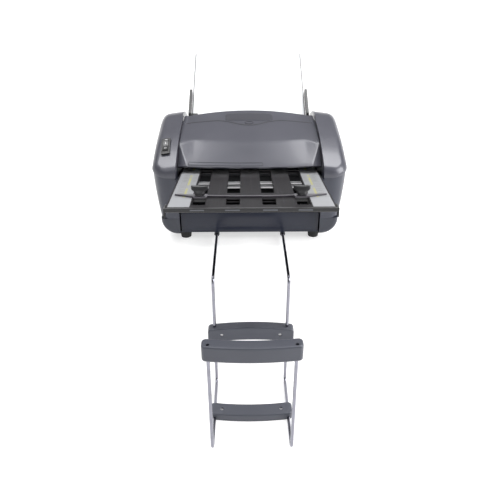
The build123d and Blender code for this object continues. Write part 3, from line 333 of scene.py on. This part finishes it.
def scale_card(name, tone):
    """Pale scale: behind the stop, cross lines at a pitch, long rules, columns of plain dashes, and a
    column of warm blocks; dashes and blocks are left out by a random number for each place."""
    pitch = bpy.context.scene.folder_sizes.scale_pitch
    s = Shader(name)

    def chance(step):
        return s.node("ShaderNodeTexWhiteNoise", {"W": (along / step).floor()}, noise_dimensions="1D")

    x, y, _ = s.axes()
    across = x.size()
    along = y - TRAY_LOW[1]
    printed = along > SCALE_PRINT_FROM
    ticks = (along.wrap(pitch) < SCALE_LINE) * (across < SCALE_TICKS_TO)
    tens = along.wrap(2 * pitch) < SCALE_THICK_LINE
    rules = sum((across - at).size() < SCALE_LINE for at in SCALE_RULES)
    columns = sum((across - at).size() < half for at, half in DASH_COLUMNS)
    dashes = (chance(DASH_PITCH * pitch) > 0.45) * columns
    lines = s.node("ShaderNodeMath", {0: ticks + tens + rules + 0.7 * dashes, 1: 1.0}, operation="MINIMUM")
    warm = (chance(BLOCK_PITCH * pitch) > 0.40) * ((across - BLOCK_AT).size() < BLOCK_HALF)
    fibre = s.noise(700.0, 4.0)
    ground = s.mix(fibre, shade(tone, 0.96), shade(tone, 1.03))
    ground = s.mix(printed * warm * 0.75, ground, (0.40, 0.38, 0.10))
    s.set(Base_Color=s.mix(printed * lines * 0.62, ground, (0.16, 0.16, 0.15)))
    s.set(Roughness=0.34 + 0.12 * fibre, Coat_Weight=0.2, Coat_Roughness=0.15)
    s.relief(fibre, 0.00001)
    return s.material


TRACK_PITCH, TRACK_HALF = (0.0042, 0.0066), 0.0006


def circuit(name):
    """Green board lacquer with faint copper tracks."""
    s = Shader(name)
    x, y, _ = s.axes()
    grid = (x.wrap(TRACK_PITCH[0]) < TRACK_HALF) + (y.wrap(TRACK_PITCH[1]) < TRACK_HALF)
    tracks = grid * (s.noise(90.0, 1.0) > 0.52)
    s.set(Base_Color=s.mix(tracks, (0.012, 0.085, 0.030), (0.05, 0.20, 0.07)))
    s.set(Roughness=0.32 + 0.1 * s.noise(300.0), Coat_Weight=0.4)
    s.relief(tracks, 0.00003)
    return s.material


TRAY_LOW, TRAY_HIGH = box_of("tray_upper_plate")


def make_finishes():
    """Every finish of the machine, by the record's slot names and a few of the pieces' own."""
    c = bpy.context.scene.folder_colours
    return {
        "shell": moulded("shell_charcoal", tuple(c.shell), 0.27, metallic=0.15, coat=0.25),
        # base: the shell's charcoal with a blue tint, darkened as painted shade on the lowest casing
        "base": moulded("base_blue_grey", tuple(c.lower), 0.30, metallic=0.1, coat=0.15),
        # side: a darker copy of the shell's charcoal, painting the shade on the side covers
        "side": moulded("side_charcoal", tuple(c.side), 0.30, metallic=0.12, coat=0.15),
        "pointer": moulded("stop_grey", (0.070, 0.064, 0.078), 0.30, coat=0.3, grain=0.00002),
        "panel": moulded("panel_gloss", tuple(c.panel), 0.14, coat=0.12, grain=0.000008, gloss=0.28),
        "black": moulded("black_fitting", tuple(c.black), 0.32, coat=0.2),
        "bars": moulded("bars_charcoal", tuple(c.bars), 0.36, metallic=0.2),
        "rest": paper_white("rest_white", tuple(c.rest)),
        "tray": painted_tray("tray_paint", tuple(c.tray)),
        "scale": scale_card("scale_card", tuple(c.scale)),
        "steel": brushed("plated_steel", (0.52, 0.52, 0.53), 0.26),
        "wire": chrome("wire_chrome"),
        "rubber": rubbery("black_rubber", (0.018, 0.018, 0.019)),
        "roller_rubber": rubbery("roller_rubber", (0.020, 0.021, 0.024), 0.7),
        "gear": moulded("gear_acetal", (0.72, 0.70, 0.62), 0.38, grain=0.00001, spread=0.03),
        "bronze": brushed("bush_bronze", (0.46, 0.28, 0.11), 0.34),
        "board": circuit("board_lacquer"),
        "pad": rubbery("pad_cork", (0.20, 0.075, 0.035), 0.85),
        "mark": moulded("mark_white", (0.80, 0.80, 0.80), 0.45, grain=0.00001, spread=0.02),
        "plate": moulded("cover_plate", shade(tuple(c.shell), 0.62), 0.42, metallic=0.2),
        "slit": moulded("lip_slit", (0.095, 0.10, 0.115), 0.34, coat=0.3),
        # painted shade: this dark finish is for the strip at the brow step and the beads round the dimple and the
        # outline, standing in for the shade in those grooves
        "dark": moulded("dark_groove", (0.020, 0.020, 0.024), 0.5),
    }


FINISH = {}

# ---- mesh building -------------------------------------------------------------------------


def grid_faces(rows, columns, wrap_rows=False, wrap_columns=False):
    """Quads over a grid of points numbered row by row; a wrapped way joins its last line to its first."""
    r = np.arange(rows if wrap_rows else rows - 1)[:, None]
    c = np.arange(columns if wrap_columns else columns - 1)[None, :]
    r2, c2 = (r + 1) % rows, (c + 1) % columns
    quads = np.stack([r * columns + c, r * columns + c2, r2 * columns + c2, r2 * columns + c], axis=-1)
    return quads.reshape(-1, 4)


def make_piece(name, points, faces, body, finish, smooth=True, ends=()):
    """A mesh object from an array of points, quads and optional end faces; it rides on a body."""
    mesh = bpy.data.meshes.new(name)
    mesh.from_pydata(np.asarray(points).reshape(-1, 3).tolist(), [], list(faces.tolist()) + [list(e) for e in ends])
    mesh.polygons.foreach_set("use_smooth", [smooth] * len(mesh.polygons))
    mesh.materials.append(FINISH[finish])
    mesh.update()
    piece = bpy.data.objects.new(name, mesh)
    bpy.context.scene.collection.objects.link(piece)
    if body:
        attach(piece, body)
    return piece


def smoothstep(value):
    """0 below 0, 1 above 1, and 3v^2 - 2v^3 between."""
    v = np.clip(value, 0.0, 1.0)
    return v * v * (3 - 2 * v)


def soften(piece, width, angle=40.0, segments=2):
    """Rounds a piece's sharp edges."""
    bevel = piece.modifiers.new("edge", "BEVEL")
    bevel.width = width
    bevel.segments = segments
    bevel.limit_method = "ANGLE"
    bevel.angle_limit = math.radians(angle)


def lathe_rows(profile, count):
    """Rings about Z: each (radius, height) of the profile, turned through count steps."""
    profile = np.asarray(profile, float)
    turn = np.linspace(0, 2 * np.pi, count, endpoint=False)
    x = profile[:, :1] * np.cos(turn)
    y = profile[:, :1] * np.sin(turn)
    z = np.broadcast_to(profile[:, 1:], x.shape)
    return np.stack([x, y, z], axis=-1)


# ---- top cover -----------------------------------------------------------------------------
COVER_LOW, COVER_HIGH = box_of("top_cover")
EAR_IN = float(box_of("right_top_cap")[0][0])
COVER_HALF = EAR_IN - 0.0009
COVER_BOW = np.array([0.005, 0.002, 0.0, 0.0])
COVER_CROWN = np.array([-0.0015, 0.0005, 0.006, 0.012])
EDGE_Y = COVER_LOW[1] + COVER_BOW[0]
PROFILE_Y = np.array([EDGE_Y, EDGE_Y + 0.051, EDGE_Y + 0.103, COVER_HIGH[1]])
PROFILE_Z = COVER_LOW[2] + np.array([0.004, 0.026, 0.036, 0.043])
RIDGE_PEAK_X = 0.094
FRONT_HOLLOW = 1.18  # above 1 the front face is hollow, and steepest at the ridge
RIDGE_SOFT = 0.0006
SLIDE = (0.87, -0.49)  # the way that a facet's surface falls back, in (Y, Z)
FACET_FALL = 0.55
BROW_Y, BROW_DIP, BROW_HALF, BROW_DIP_HALF = 0.0185, 0.0195, 0.1155, 0.062
BROW_RUN = 0.0014
BROW_SHADE_WIDE = 0.0024  # width of the dark strip in front of the step, painted shade of the step's edge
OVAL_Y, OVAL_X_R, OVAL_Y_R, OVAL_DEEP, OVAL_STEEP = 0.009, 0.0074, 0.0042, 0.0004, 2.2
NOTCH_X, NOTCH_Y, NOTCH_DEEP, NOTCH_R = BROW_HALF - 0.002, BROW_Y + 0.0012, 0.0016, 0.0017
INNER_SHARE = 0.86  # share of the columns that lie between the facets
CREASE_MIN = 0.003
PLATE_HALF, PLATE_Y, PLATE_CORNER = 0.043, (0.0165, 0.044), 0.006
OUTLINE_X, OUTLINE_Y, OUTLINE_HALF, OUTLINE_CORNER = -0.040, 0.0075, (0.0615, 0.0036), 0.0012
PIN_IN = 0.003  # the pins start inside the cover's end walls
PIN_PROFILE = ((0.0, 0.0), (0.0045, 0.0), (0.0045, 0.0026), (0.002, 0.003), (0.002, 0.0059), (0.0, 0.006))


def cover_knots(x):
    """(Y, Z) of the edge, ridge, middle and back at each X: end values plus a share, 1 - (x/half)^2, of
    the bow and the crown, and the ridge's wave, which rises to its peak and falls to the end."""
    sizes = bpy.context.scene.folder_sizes
    share = 1 - (x / COVER_HALF) ** 2
    ys = [PROFILE_Y[k] - COVER_BOW[k] * share for k in range(4)]
    zs = [PROFILE_Z[k] + COVER_CROWN[k] * share for k in range(4)]
    out = np.abs(x) / RIDGE_PEAK_X
    end = (COVER_HALF - np.abs(x)) / (COVER_HALF - RIDGE_PEAK_X)
    wave = np.where(out < 1, np.minimum(out, 1) ** 1.3, smoothstep(end))
    ys[1] = ys[1] + sizes.ridge_back * wave
    zs[1] = zs[1] + sizes.ridge_up * wave
    return ys, zs


def brow_line(x):
    """Y of the brow line: level at the ends, with a smooth dip about the middle."""
    return BROW_Y - BROW_DIP * smoothstep(1 - np.abs(x) / BROW_DIP_HALF)


def cover_height(x, y):
    """Z of the cover: the lower of a hollow front face and a parabola through ridge, middle and back,
    blended by a soft minimum; behind the brow line it steps down, with a dimple at the middle."""
    sizes = bpy.context.scene.folder_sizes
    (y0, y1, y2, y3), (z0, z1, z2, z3) = cover_knots(x)
    along = np.maximum((y - y0) / (y1 - y0), 0)
    front = z0 + (z1 - z0) * along**FRONT_HOLLOW
    top = z1 * (y - y2) * (y - y3) / ((y1 - y2) * (y1 - y3))
    top = top + z2 * (y - y1) * (y - y3) / ((y2 - y1) * (y2 - y3))
    top = top + z3 * (y - y1) * (y - y2) / ((y3 - y1) * (y3 - y2))
    low = np.minimum(front, top)
    z = low - RIDGE_SOFT * np.log(np.exp((low - front) / RIDGE_SOFT) + np.exp((low - top) / RIDGE_SOFT))
    ends = smoothstep((BROW_HALF - np.abs(x)) / BROW_RUN)
    step = smoothstep((y - brow_line(x)) / BROW_RUN) * ends
    oval = 1 - (x / OVAL_X_R) ** 2 - ((y - OVAL_Y) / OVAL_Y_R) ** 2
    notch = (np.abs(x) - NOTCH_X) ** 2 + (y - NOTCH_Y) ** 2
    z = z - sizes.brow * step - OVAL_DEEP * smoothstep(oval * OVAL_STEEP)
    return z - NOTCH_DEEP * np.exp(-notch / NOTCH_R**2)


def cover_grid():
    """Points of the cover's outside: rows from front edge to back edge, gathered at the ridge and the brow;
    columns follow the facets' inner edges, and outside them the front face falls back."""
    sizes = bpy.context.scene.folder_sizes
    rows = np.concatenate([
        np.linspace(0.0, 0.85, 34, endpoint=False),
        np.linspace(0.85, 1.2, 16, endpoint=False),
        np.linspace(1.2, 2.0, 30, endpoint=False),
        np.linspace(2.0, 2.1, 9, endpoint=False),
        np.linspace(2.1, 3.0, 26),
    ])[:, None]
    side = np.linspace(-1, 1, 2 * 96 + 1)
    forward = np.clip(rows, 0, 1)
    crease = COVER_HALF - np.maximum(sizes.facet * (1 - forward), CREASE_MIN)
    spread = np.clip(np.abs(side) / INNER_SHARE, 0, 1) * crease
    rest = np.clip((np.abs(side) - INNER_SHARE) / (1 - INNER_SHARE), 0, 1) * (COVER_HALF - crease)
    x = np.sign(side) * (spread + rest)
    (y0, y1, _, y3), _ = cover_knots(x)
    brow = brow_line(x) - 0.0004
    y = np.where(rows < 1, y0 + (y1 - y0) * rows, 0)
    y = np.where((rows >= 1) & (rows < 2), y1 + (brow - y1) * (rows - 1), y)
    y = np.where(rows >= 2, brow + (y3 - brow) * (rows - 2), y)
    z = cover_height(x, y)
    fall = FACET_FALL * np.maximum(np.abs(x) - crease, 0) * smoothstep((1 - forward) * 4)
    return np.stack([x, y + SLIDE[0] * fall, z + SLIDE[1] * fall], axis=-1)


def thin_shell(name, points, body, finish, wall, rim=0.0004):
    """A grid surface given a wall on its under side, with its rims softened."""
    faces = grid_faces(points.shape[0], points.shape[1])
    piece = make_piece(name, points, faces, body, finish)
    solid = piece.modifiers.new("wall", "SOLIDIFY")
    solid.thickness = wall
    solid.offset = -1
    if rim:
        soften(piece, rim, 55.0)
    return piece


def tube(name, path, radius, body, finish, sides=10):
    """A closed bead: a circle of the radius carried round a closed path that lies across Z."""
    path = np.asarray(path, float)
    ahead = np.roll(path, -1, axis=0) - np.roll(path, 1, axis=0)
    ahead /= np.linalg.norm(ahead, axis=1, keepdims=True)
    side = np.cross(ahead, [0.0, 0.0, 1.0])
    side /= np.linalg.norm(side, axis=1, keepdims=True)
    up = np.cross(side, ahead)
    turn = np.linspace(0, 2 * np.pi, sides, endpoint=False)[None, :, None]
    points = path[:, None] + radius * (np.cos(turn) * side[:, None] + np.sin(turn) * up[:, None])
    return make_piece(name, points, grid_faces(len(path), sides, True, True), body, finish)


def rounded_loop(half_x, half_y, corner, count=14):
    """Points round a rectangle with quarter-circle corners, anticlockwise."""
    turn = np.linspace(0, np.pi / 2, count)
    points = []
    for quarter, (sx, sy) in enumerate(((1, 1), (-1, 1), (-1, -1), (1, -1))):
        angle = turn + quarter * np.pi / 2
        points.append(np.stack([
            sx * (half_x - corner) + corner * np.cos(angle),
            sy * (half_y - corner) + corner * np.sin(angle),
        ], axis=-1))
    return np.concatenate(points)


def stretched(loop, step):
    """A closed loop with points added so that none is further from the next than the step."""
    out = []
    for a, b in zip(loop, np.roll(loop, -1, axis=0)):
        count = max(1, int(np.ceil(np.linalg.norm(b - a) / step)))
        out.append(a + (b - a) * np.linspace(0, 1, count, endpoint=False)[:, None])
    return np.concatenate(out)


def on_cover(x, y, lift=0.0):
    """Points on the cover's outside at X and Y, raised by a lift."""
    x, y = np.broadcast_arrays(x, y)
    return np.stack([x, y, cover_height(x, y) + lift], axis=-1)


def plate_points():
    """A rounded rectangle: rows from front to back, drawn in near both ends by the corners' quarter circles."""
    v = np.linspace(0, 1, 15)[:, None]
    deep = PLATE_Y[1] - PLATE_Y[0]
    near = np.minimum(v, 1 - v) * deep
    inset = PLATE_CORNER - np.sqrt(np.maximum(PLATE_CORNER**2 - np.maximum(PLATE_CORNER - near, 0) ** 2, 0))
    return on_cover(np.linspace(-1, 1, 41) * (PLATE_HALF - inset), PLATE_Y[0] + deep * v, 0.0003)


class FOLDER_OT_cover(bpy.types.Operator):
    """Make the crowned top cover with its ridge, facets, brow step, blank plate and hinge pins"""

    bl_idname = "folder.cover"
    bl_label = "Top Cover"

    def execute(self, context):
        skin = thin_shell("cover_skin", cover_grid(), "top_cover", "shell", context.scene.folder_sizes.skin, 0.0005)
        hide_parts("top_cover")
        thin_shell("cover_plate", plate_points(), "top_cover", "plate", 0.0006, 0.0)
        x = np.linspace(-BROW_HALF, BROW_HALF, 121)
        # a dark strip laid in front of the brow step: painted shade of the step's edge
        brow = on_cover(x, brow_line(x) + np.linspace(-BROW_SHADE_WIDE, 0.0, 4)[:, None], 0.0002)
        thin_shell("cover_brow", brow, "top_cover", "dark", 0.0004, 0.0)
        # the dark ring round the dimple and the dark rounded outline are painted shade of their grooves
        turn = np.linspace(0, 2 * np.pi, 72, endpoint=False)
        oval = on_cover(OVAL_X_R * np.cos(turn), OVAL_Y + OVAL_Y_R * np.sin(turn))
        tube("cover_oval", oval, 0.0006, "top_cover", "dark")
        loop = stretched(rounded_loop(*OUTLINE_HALF, OUTLINE_CORNER, 6), 0.003)
        x = loop[:, 0] + OUTLINE_X
        outline = on_cover(x, cover_knots(x)[0][0] + OUTLINE_Y + loop[:, 1])
        tube("cover_outline", outline, 0.0005, "top_cover", "dark")
        _, pin_y, pin_z = joint("top_cover_hinge")["pos_m"]
        rows = lathe_rows(PIN_PROFILE, 32)
        for name, side in (("left", -1), ("right", 1)):
            x = side * (COVER_HALF - PIN_IN + rows[..., 2])
            points = np.stack([x, pin_y + side * rows[..., 0], pin_z + rows[..., 1]], axis=-1)
            piece = make_piece(f"cover_pin_{name}", points, grid_faces(*rows.shape[:2], wrap_columns=True),
                               "top_cover", "shell")
            mend(piece)
        return {"FINISHED"}


def mend(piece):
    """Closes a lathed piece's poles and turns its faces outwards."""
    mesh = bmesh.new()
    mesh.from_mesh(piece.data)
    bmesh.ops.remove_doubles(mesh, verts=mesh.verts, dist=1e-6)
    bmesh.ops.recalc_face_normals(mesh, faces=mesh.faces)
    mesh.to_mesh(piece.data)
    mesh.free()


# ---- fold tray -----------------------------------------------------------------------------
TRAY_ALONG = -np.array(joint("fold_tray_slide")["axis"])
TRAY_UP = np.cross([1.0, 0.0, 0.0], TRAY_ALONG)
TRAY_SHEET = 0.0015
TRAY_START = np.array([0.0, TRAY_LOW[1] + TRAY_SHEET * TRAY_UP[1], TRAY_HIGH[2]])
SCALE_X, SCALE_ALONG, SCALE_UP = (0.0835, 0.1128), (0.003, 0.222), (0.00002, 0.0004)
SLIT_COLUMNS = ((0.063, 0.082), (0.0155, 0.035))
LIP_FRONT = 0.004
SLIT_ALONG, SLIT_UP = (-LIP_FRONT - 0.00012, -LIP_FRONT + 0.0006), (-0.0030, -0.0012)


def tray_points(x, along, up):
    """Points of the tray's own plane: X to the right, along it to the back, and up from its top."""
    x, along, up = np.broadcast_arrays(x, along, up)
    return TRAY_START + x[..., None] * [1.0, 0.0, 0.0] + along[..., None] * TRAY_ALONG + up[..., None] * TRAY_UP


def slab(name, x, along, up, body, finish):
    """A flat bar on the tray between two values of each way, with softened edges."""
    x = np.array(x)[[0, 1, 1, 0, 0, 1, 1, 0]]
    along = np.array(along)[[0, 0, 1, 1, 0, 0, 1, 1]]
    up = np.repeat(up, 4)
    faces = np.array([(3, 2, 1, 0), (4, 5, 6, 7), (0, 1, 5, 4), (1, 2, 6, 5), (2, 3, 7, 6), (3, 0, 4, 7)])
    piece = make_piece(name, tray_points(x, along, up), faces, body, finish, smooth=False)
    soften(piece, 0.0001)
    return piece


class FOLDER_OT_tray(bpy.types.Operator):
    """Make the tray's two scales and the pale slits in its lip"""

    bl_idname = "folder.tray"
    bl_label = "Tray Scales"

    def execute(self, context):
        for name, side in (("left", -1), ("right", 1)):
            x = sorted(side * edge for edge in SCALE_X)
            slab(f"tray_scale_{name}", x, SCALE_ALONG, SCALE_UP, "fold_tray", "scale")
            for k, column in enumerate(SLIT_COLUMNS):
                x = sorted(side * edge for edge in column)
                slab(f"lip_slit_{name}_{k + 1}", x, SLIT_ALONG, SLIT_UP, "fold_tray", "slit")
        return {"FINISHED"}


KNOB_LOW, KNOB_HIGH = 0.004, 0.017
KNOB_HUB, KNOB_WING, KNOB_THIN = 0.0073, 0.012, 0.0040
KNOB_HOLLOW = 0.0009
KNOB_GROW = (0.22, 0.42)  # where the wings begin to grow and over how much, as shares of the height
KNOB_SQUARE = 2.5  # 2 is an ellipse, more is squarer
KNOB_SIDES = 56


def knob_points():
    """Rings up a winged knob: squashed circles whose long half grows from hub to wing while the short half
    shrinks, then rings that close over a top with a hollow between the wings."""
    rise = np.concatenate([[0.0], np.linspace(0.02, 0.93, 22), np.ones(9)])[:, None]
    close = np.concatenate([[0.9], np.ones(22), np.cos(np.linspace(0.15, np.pi / 2 - 0.02, 9))])[:, None]
    grow = smoothstep((rise - KNOB_GROW[0]) / KNOB_GROW[1])
    long_half = KNOB_HUB + (KNOB_WING - KNOB_HUB) * grow
    short_half = KNOB_HUB + (KNOB_THIN - KNOB_HUB) * grow**0.8
    turn = np.linspace(0, 2 * np.pi, KNOB_SIDES, endpoint=False)
    power = 2 / KNOB_SQUARE
    x = long_half * close * np.sign(np.cos(turn)) * np.abs(np.cos(turn)) ** power
    y = short_half * close * np.sign(np.sin(turn)) * np.abs(np.sin(turn)) ** power
    hollow = KNOB_HOLLOW * (1 - (x / KNOB_WING) ** 2) * smoothstep((rise - 0.45) / 0.55)
    z = KNOB_LOW + (KNOB_HIGH - KNOB_LOW) * rise - hollow
    return x, y, z


class FOLDER_OT_knobs(bpy.types.Operator):
    """Make the two winged clamp knobs"""

    bl_idname = "folder.knobs"
    bl_label = "Clamp Knobs"

    def execute(self, context):
        for name in ("left", "right"):
            centre = np.array(joint(f"knob_{name}_turn")["pos_m"])
            x, y, z = knob_points()
            at = tray_points(x + centre[0], 0 * x, z)
            shift = (centre - TRAY_START) @ TRAY_ALONG
            points = at + y[..., None] * TRAY_ALONG + shift * TRAY_ALONG
            rows, columns = x.shape
            ends = [range(columns)[::-1], range((rows - 1) * columns, rows * columns)]
            knob = make_piece(f"knob_{name}", points, grid_faces(rows, columns, wrap_columns=True),
                              f"knob_{name}", "black", ends=ends)
            mend(knob)
            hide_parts(f"clamp_knob_{name}")
        return {"FINISHED"}


# ---- switch marks --------------------------------------------------------------------------
DISH_R, DISH_Z = 0.0285, 0.0311
AXLE_Z = -0.003
MARK_T, MARK_LIFT = 0.0002, 0.00012
ON_HALF, ON_Y = (0.00055, 0.0022), 0.0070  # a bar
OFF_RADII, OFF_Y = (0.0013, 0.00165, 0.0020), -0.0070  # a ring
DASH_HALF, DASH_Y, DASH_LIFT = (0.0022, 0.0006), 0.0178, 0.00272  # a dash on the frame


def switch_axes():
    """The switch's place, and its axes across, along and out of the cap; along is the bezel's longest way."""
    across = np.array(joint("power_switch")["axis"])
    mesh = NODES["switch_bezel"].data
    points = np.zeros(len(mesh.vertices) * 3)
    mesh.vertices.foreach_get("co", points)
    points = points.reshape(-1, 3)
    along = np.linalg.eigh(np.cov((points - points.mean(0)).T))[1][:, -1]
    along = along * np.sign(along[1])
    along = along - across * (along @ across)
    along /= np.linalg.norm(along)
    out = np.cross(across, along)
    return np.array(joint("power_switch")["pos_m"]) - AXLE_Z * out, across, along, out


class FOLDER_OT_marks(bpy.types.Operator):
    """Print the on and off marks of the power switch"""

    bl_idname = "folder.marks"
    bl_label = "Switch Marks"

    def execute(self, context):
        origin, across, along, out = switch_axes()

        def placed(x, y, lift):
            return origin + x[..., None] * across + y[..., None] * along + lift[..., None] * out

        def dish(y):
            return DISH_Z - np.sqrt(DISH_R**2 - y**2)

        u, v = np.meshgrid(np.linspace(-1, 1, 3), np.linspace(-1, 1, 9))
        x, y = ON_HALF[0] * u, ON_Y + ON_HALF[1] * v
        thin_shell("mark_on", placed(x, y, dish(y) + MARK_LIFT), "rocker", "mark", MARK_T, 0.0)
        turn = np.linspace(0, 2 * np.pi, 33)[:, None]
        x, y = OFF_RADII * np.sin(turn), OFF_Y + OFF_RADII * np.cos(turn)
        ring = thin_shell("mark_off", placed(x, y, dish(y) + MARK_LIFT), "rocker", "mark", MARK_T, 0.0)
        mend(ring)
        x, y = DASH_HALF[0] * u, DASH_Y + DASH_HALF[1] * v
        thin_shell("mark_frame", placed(x, y, 0 * x + DASH_LIFT), "root", "mark", MARK_T, 0.0)
        return {"FINISHED"}


# ---- finishes of the machine's own parts ---------------------------------------------------
# the side covers take the darker side finish, painted shade over the shell's own charcoal
OWN_FINISH = {"left_side_cover": "side", "right_side_cover": "side", "fold_stop_bar": "pointer"}


class FOLDER_OT_finishes(bpy.types.Operator):
    """Give every part of the machine its finish, by the record's material slot"""

    bl_idname = "folder.finishes"
    bl_label = "Finishes"

    def execute(self, context):
        FINISH.update(make_finishes())
        for part in RECORD["subparts"]:
            node = NODES[part["node"]]
            node.data.materials.clear()
            node.data.materials.append(FINISH[OWN_FINISH.get(part["node"], part["material_slot"])])
        return {"FINISHED"}


# ---- stage ---------------------------------------------------------------------------------
CAMERA_AT = (-0.00942, -0.92655, 0.4419)
CAMERA_DOWN, CAMERA_RIGHT = math.radians(29.468), math.radians(0.681)
CAMERA_LENS = 37.694
DESK_BACK, DESK_EDGE = -0.125, -0.238
FLOOR_FRONT, FLOOR_HALF = -2.6, 3.0
WALL_Y, WALL_R, WALL_TOP = 2.4, 0.5, 0.62
SKY = ((0.0, 0.92), (0.18, 0.90), (0.34, 0.20), (1.0, 0.50))  # brightness by the sine of the height
LIGHTS = (  # name, place, target, width, height, power
    ("key", (-0.9, -0.9, 1.7), (0.0, -0.1, 0.0), 1.3, 1.0, 5.0),
    ("fill", (1.5, -0.5, 0.75), (0.0, -0.1, 0.05), 1.0, 1.2, 29.0),
    ("left_strip", (-0.78, 0.40, 1.75), (-0.78, 0.38, 0.0), 1.0, 1.2, 24.0),
    ("right_strip", (0.78, 0.40, 1.75), (0.78, 0.38, 0.0), 1.0, 1.2, 28.0),
)


def backdrop_points():
    """A floor at stacker level in front, rising smoothly to desk level under the machine, and at the back
    turning up through a quarter circle to a wall."""
    floor = float(box_of("stacker_wires")[0][2]) - 0.0015
    front = np.linspace(FLOOR_FRONT, DESK_EDGE, 24, endpoint=False)
    slope = np.linspace(DESK_EDGE, DESK_BACK, 40, endpoint=False)
    level = np.linspace(DESK_BACK, WALL_Y - WALL_R, 20, endpoint=False)
    turn = np.linspace(0, np.pi / 2, 24)
    y = np.concatenate([front, slope, level, WALL_Y - WALL_R + WALL_R * np.sin(turn), [WALL_Y]])
    z = floor * (1 - smoothstep((y - DESK_EDGE) / (DESK_BACK - DESK_EDGE)))
    z[-25:-1] = WALL_R * (1 - np.cos(turn))
    z[-1] = WALL_TOP
    x, y = np.meshgrid(np.linspace(-FLOOR_HALF, FLOOR_HALF, 25), y)
    return np.stack([x, y, np.broadcast_to(z[:, None], x.shape)], axis=-1)


def area_light(name, place, target, width, height, power):
    """A soft rectangular light at a place, turned to a target."""
    data = bpy.data.lights.new(name, "AREA")
    data.shape = "RECTANGLE"
    data.size, data.size_y = width, height
    data.energy = power
    light = bpy.data.objects.new(name, data)
    bpy.context.scene.collection.objects.link(light)
    way = np.array(target, float) - np.array(place, float)
    flat = math.hypot(way[0], way[1])
    light.location = place
    light.rotation_euler = (math.atan2(flat, -way[2]), 0.0, math.atan2(way[1], way[0]) - math.pi / 2)
    return light


def make_sky():
    """Surroundings that are pale near the horizon, grey above it, and lighter overhead."""
    world = bpy.data.worlds.new("studio")
    world.use_nodes = True
    n = Nodes(world.node_tree)
    place = n.node("ShaderNodeTexCoord", out="Generated")
    height = n.node("ShaderNodeSeparateXYZ", {0: place}, out="Z")
    n.feed(n.tree.nodes["Background"].inputs["Color"], n.ramp(height, *SKY))
    return world


class FOLDER_OT_stage(bpy.types.Operator):
    """Set the pale floor, the soft lights and the camera"""

    bl_idname = "folder.stage"
    bl_label = "Stage"

    def execute(self, context):
        scene = context.scene
        s = Shader("backdrop_white")
        tone = tuple(scene.folder_colours.backdrop)
        s.set(Base_Color=tone, Roughness=0.9, Emission_Color=(1.0, 1.0, 1.0), Emission_Strength=0.60)
        s.set(Specular_IOR_Level=0.0)
        FINISH["backdrop"] = s.material
        points = backdrop_points()
        floor = make_piece("backdrop", points, grid_faces(*points.shape[:2]), None, "backdrop")
        for light in LIGHTS:
            area_light(*light)
        scene.world = make_sky()
        scene.view_settings.view_transform = "Standard"
        data = bpy.data.cameras.new("camera")
        data.lens = CAMERA_LENS
        data.sensor_width = 36.0
        camera = bpy.data.objects.new("camera", data)
        camera.location = CAMERA_AT
        camera.rotation_euler = (math.pi / 2 - CAMERA_DOWN, 0.0, -CAMERA_RIGHT)
        scene.collection.objects.link(camera)
        scene.camera = camera
        return {"FINISHED"}


class FOLDER_PT_looks(bpy.types.Panel):
    """Sizes, colours and pieces of the folding machine"""

    bl_label = "Letter Folder"
    bl_space_type = "VIEW_3D"
    bl_region_type = "UI"
    bl_category = "Folder"

    def draw(self, context):
        for group in (context.scene.folder_sizes, context.scene.folder_colours):
            for name in group.__annotations__:
                self.layout.prop(group, name)
        for operator in OPERATORS:
            self.layout.operator(operator.bl_idname)


OPERATORS = (
    FOLDER_OT_finishes,
    FOLDER_OT_stage,
    FOLDER_OT_cover,
    FOLDER_OT_tray,
    FOLDER_OT_knobs,
    FOLDER_OT_marks,
)
CLASSES = (FolderSizes, FolderColours, *OPERATORS, FOLDER_PT_looks)


def register():
    for cls in CLASSES:
        bpy.utils.register_class(cls)
    bpy.types.Scene.folder_sizes = bpy.props.PointerProperty(type=FolderSizes)
    bpy.types.Scene.folder_colours = bpy.props.PointerProperty(type=FolderColours)


def unregister():
    del bpy.types.Scene.folder_colours
    del bpy.types.Scene.folder_sizes
    for cls in reversed(CLASSES):
        bpy.utils.unregister_class(cls)


def main():
    """Registers the classes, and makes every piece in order."""
    register()
    bpy.ops.folder.finishes()
    bpy.ops.folder.stage()
    bpy.ops.folder.cover()
    bpy.ops.folder.tray()
    bpy.ops.folder.knobs()
    bpy.ops.folder.marks()


if __name__ == "__main__":
    main()
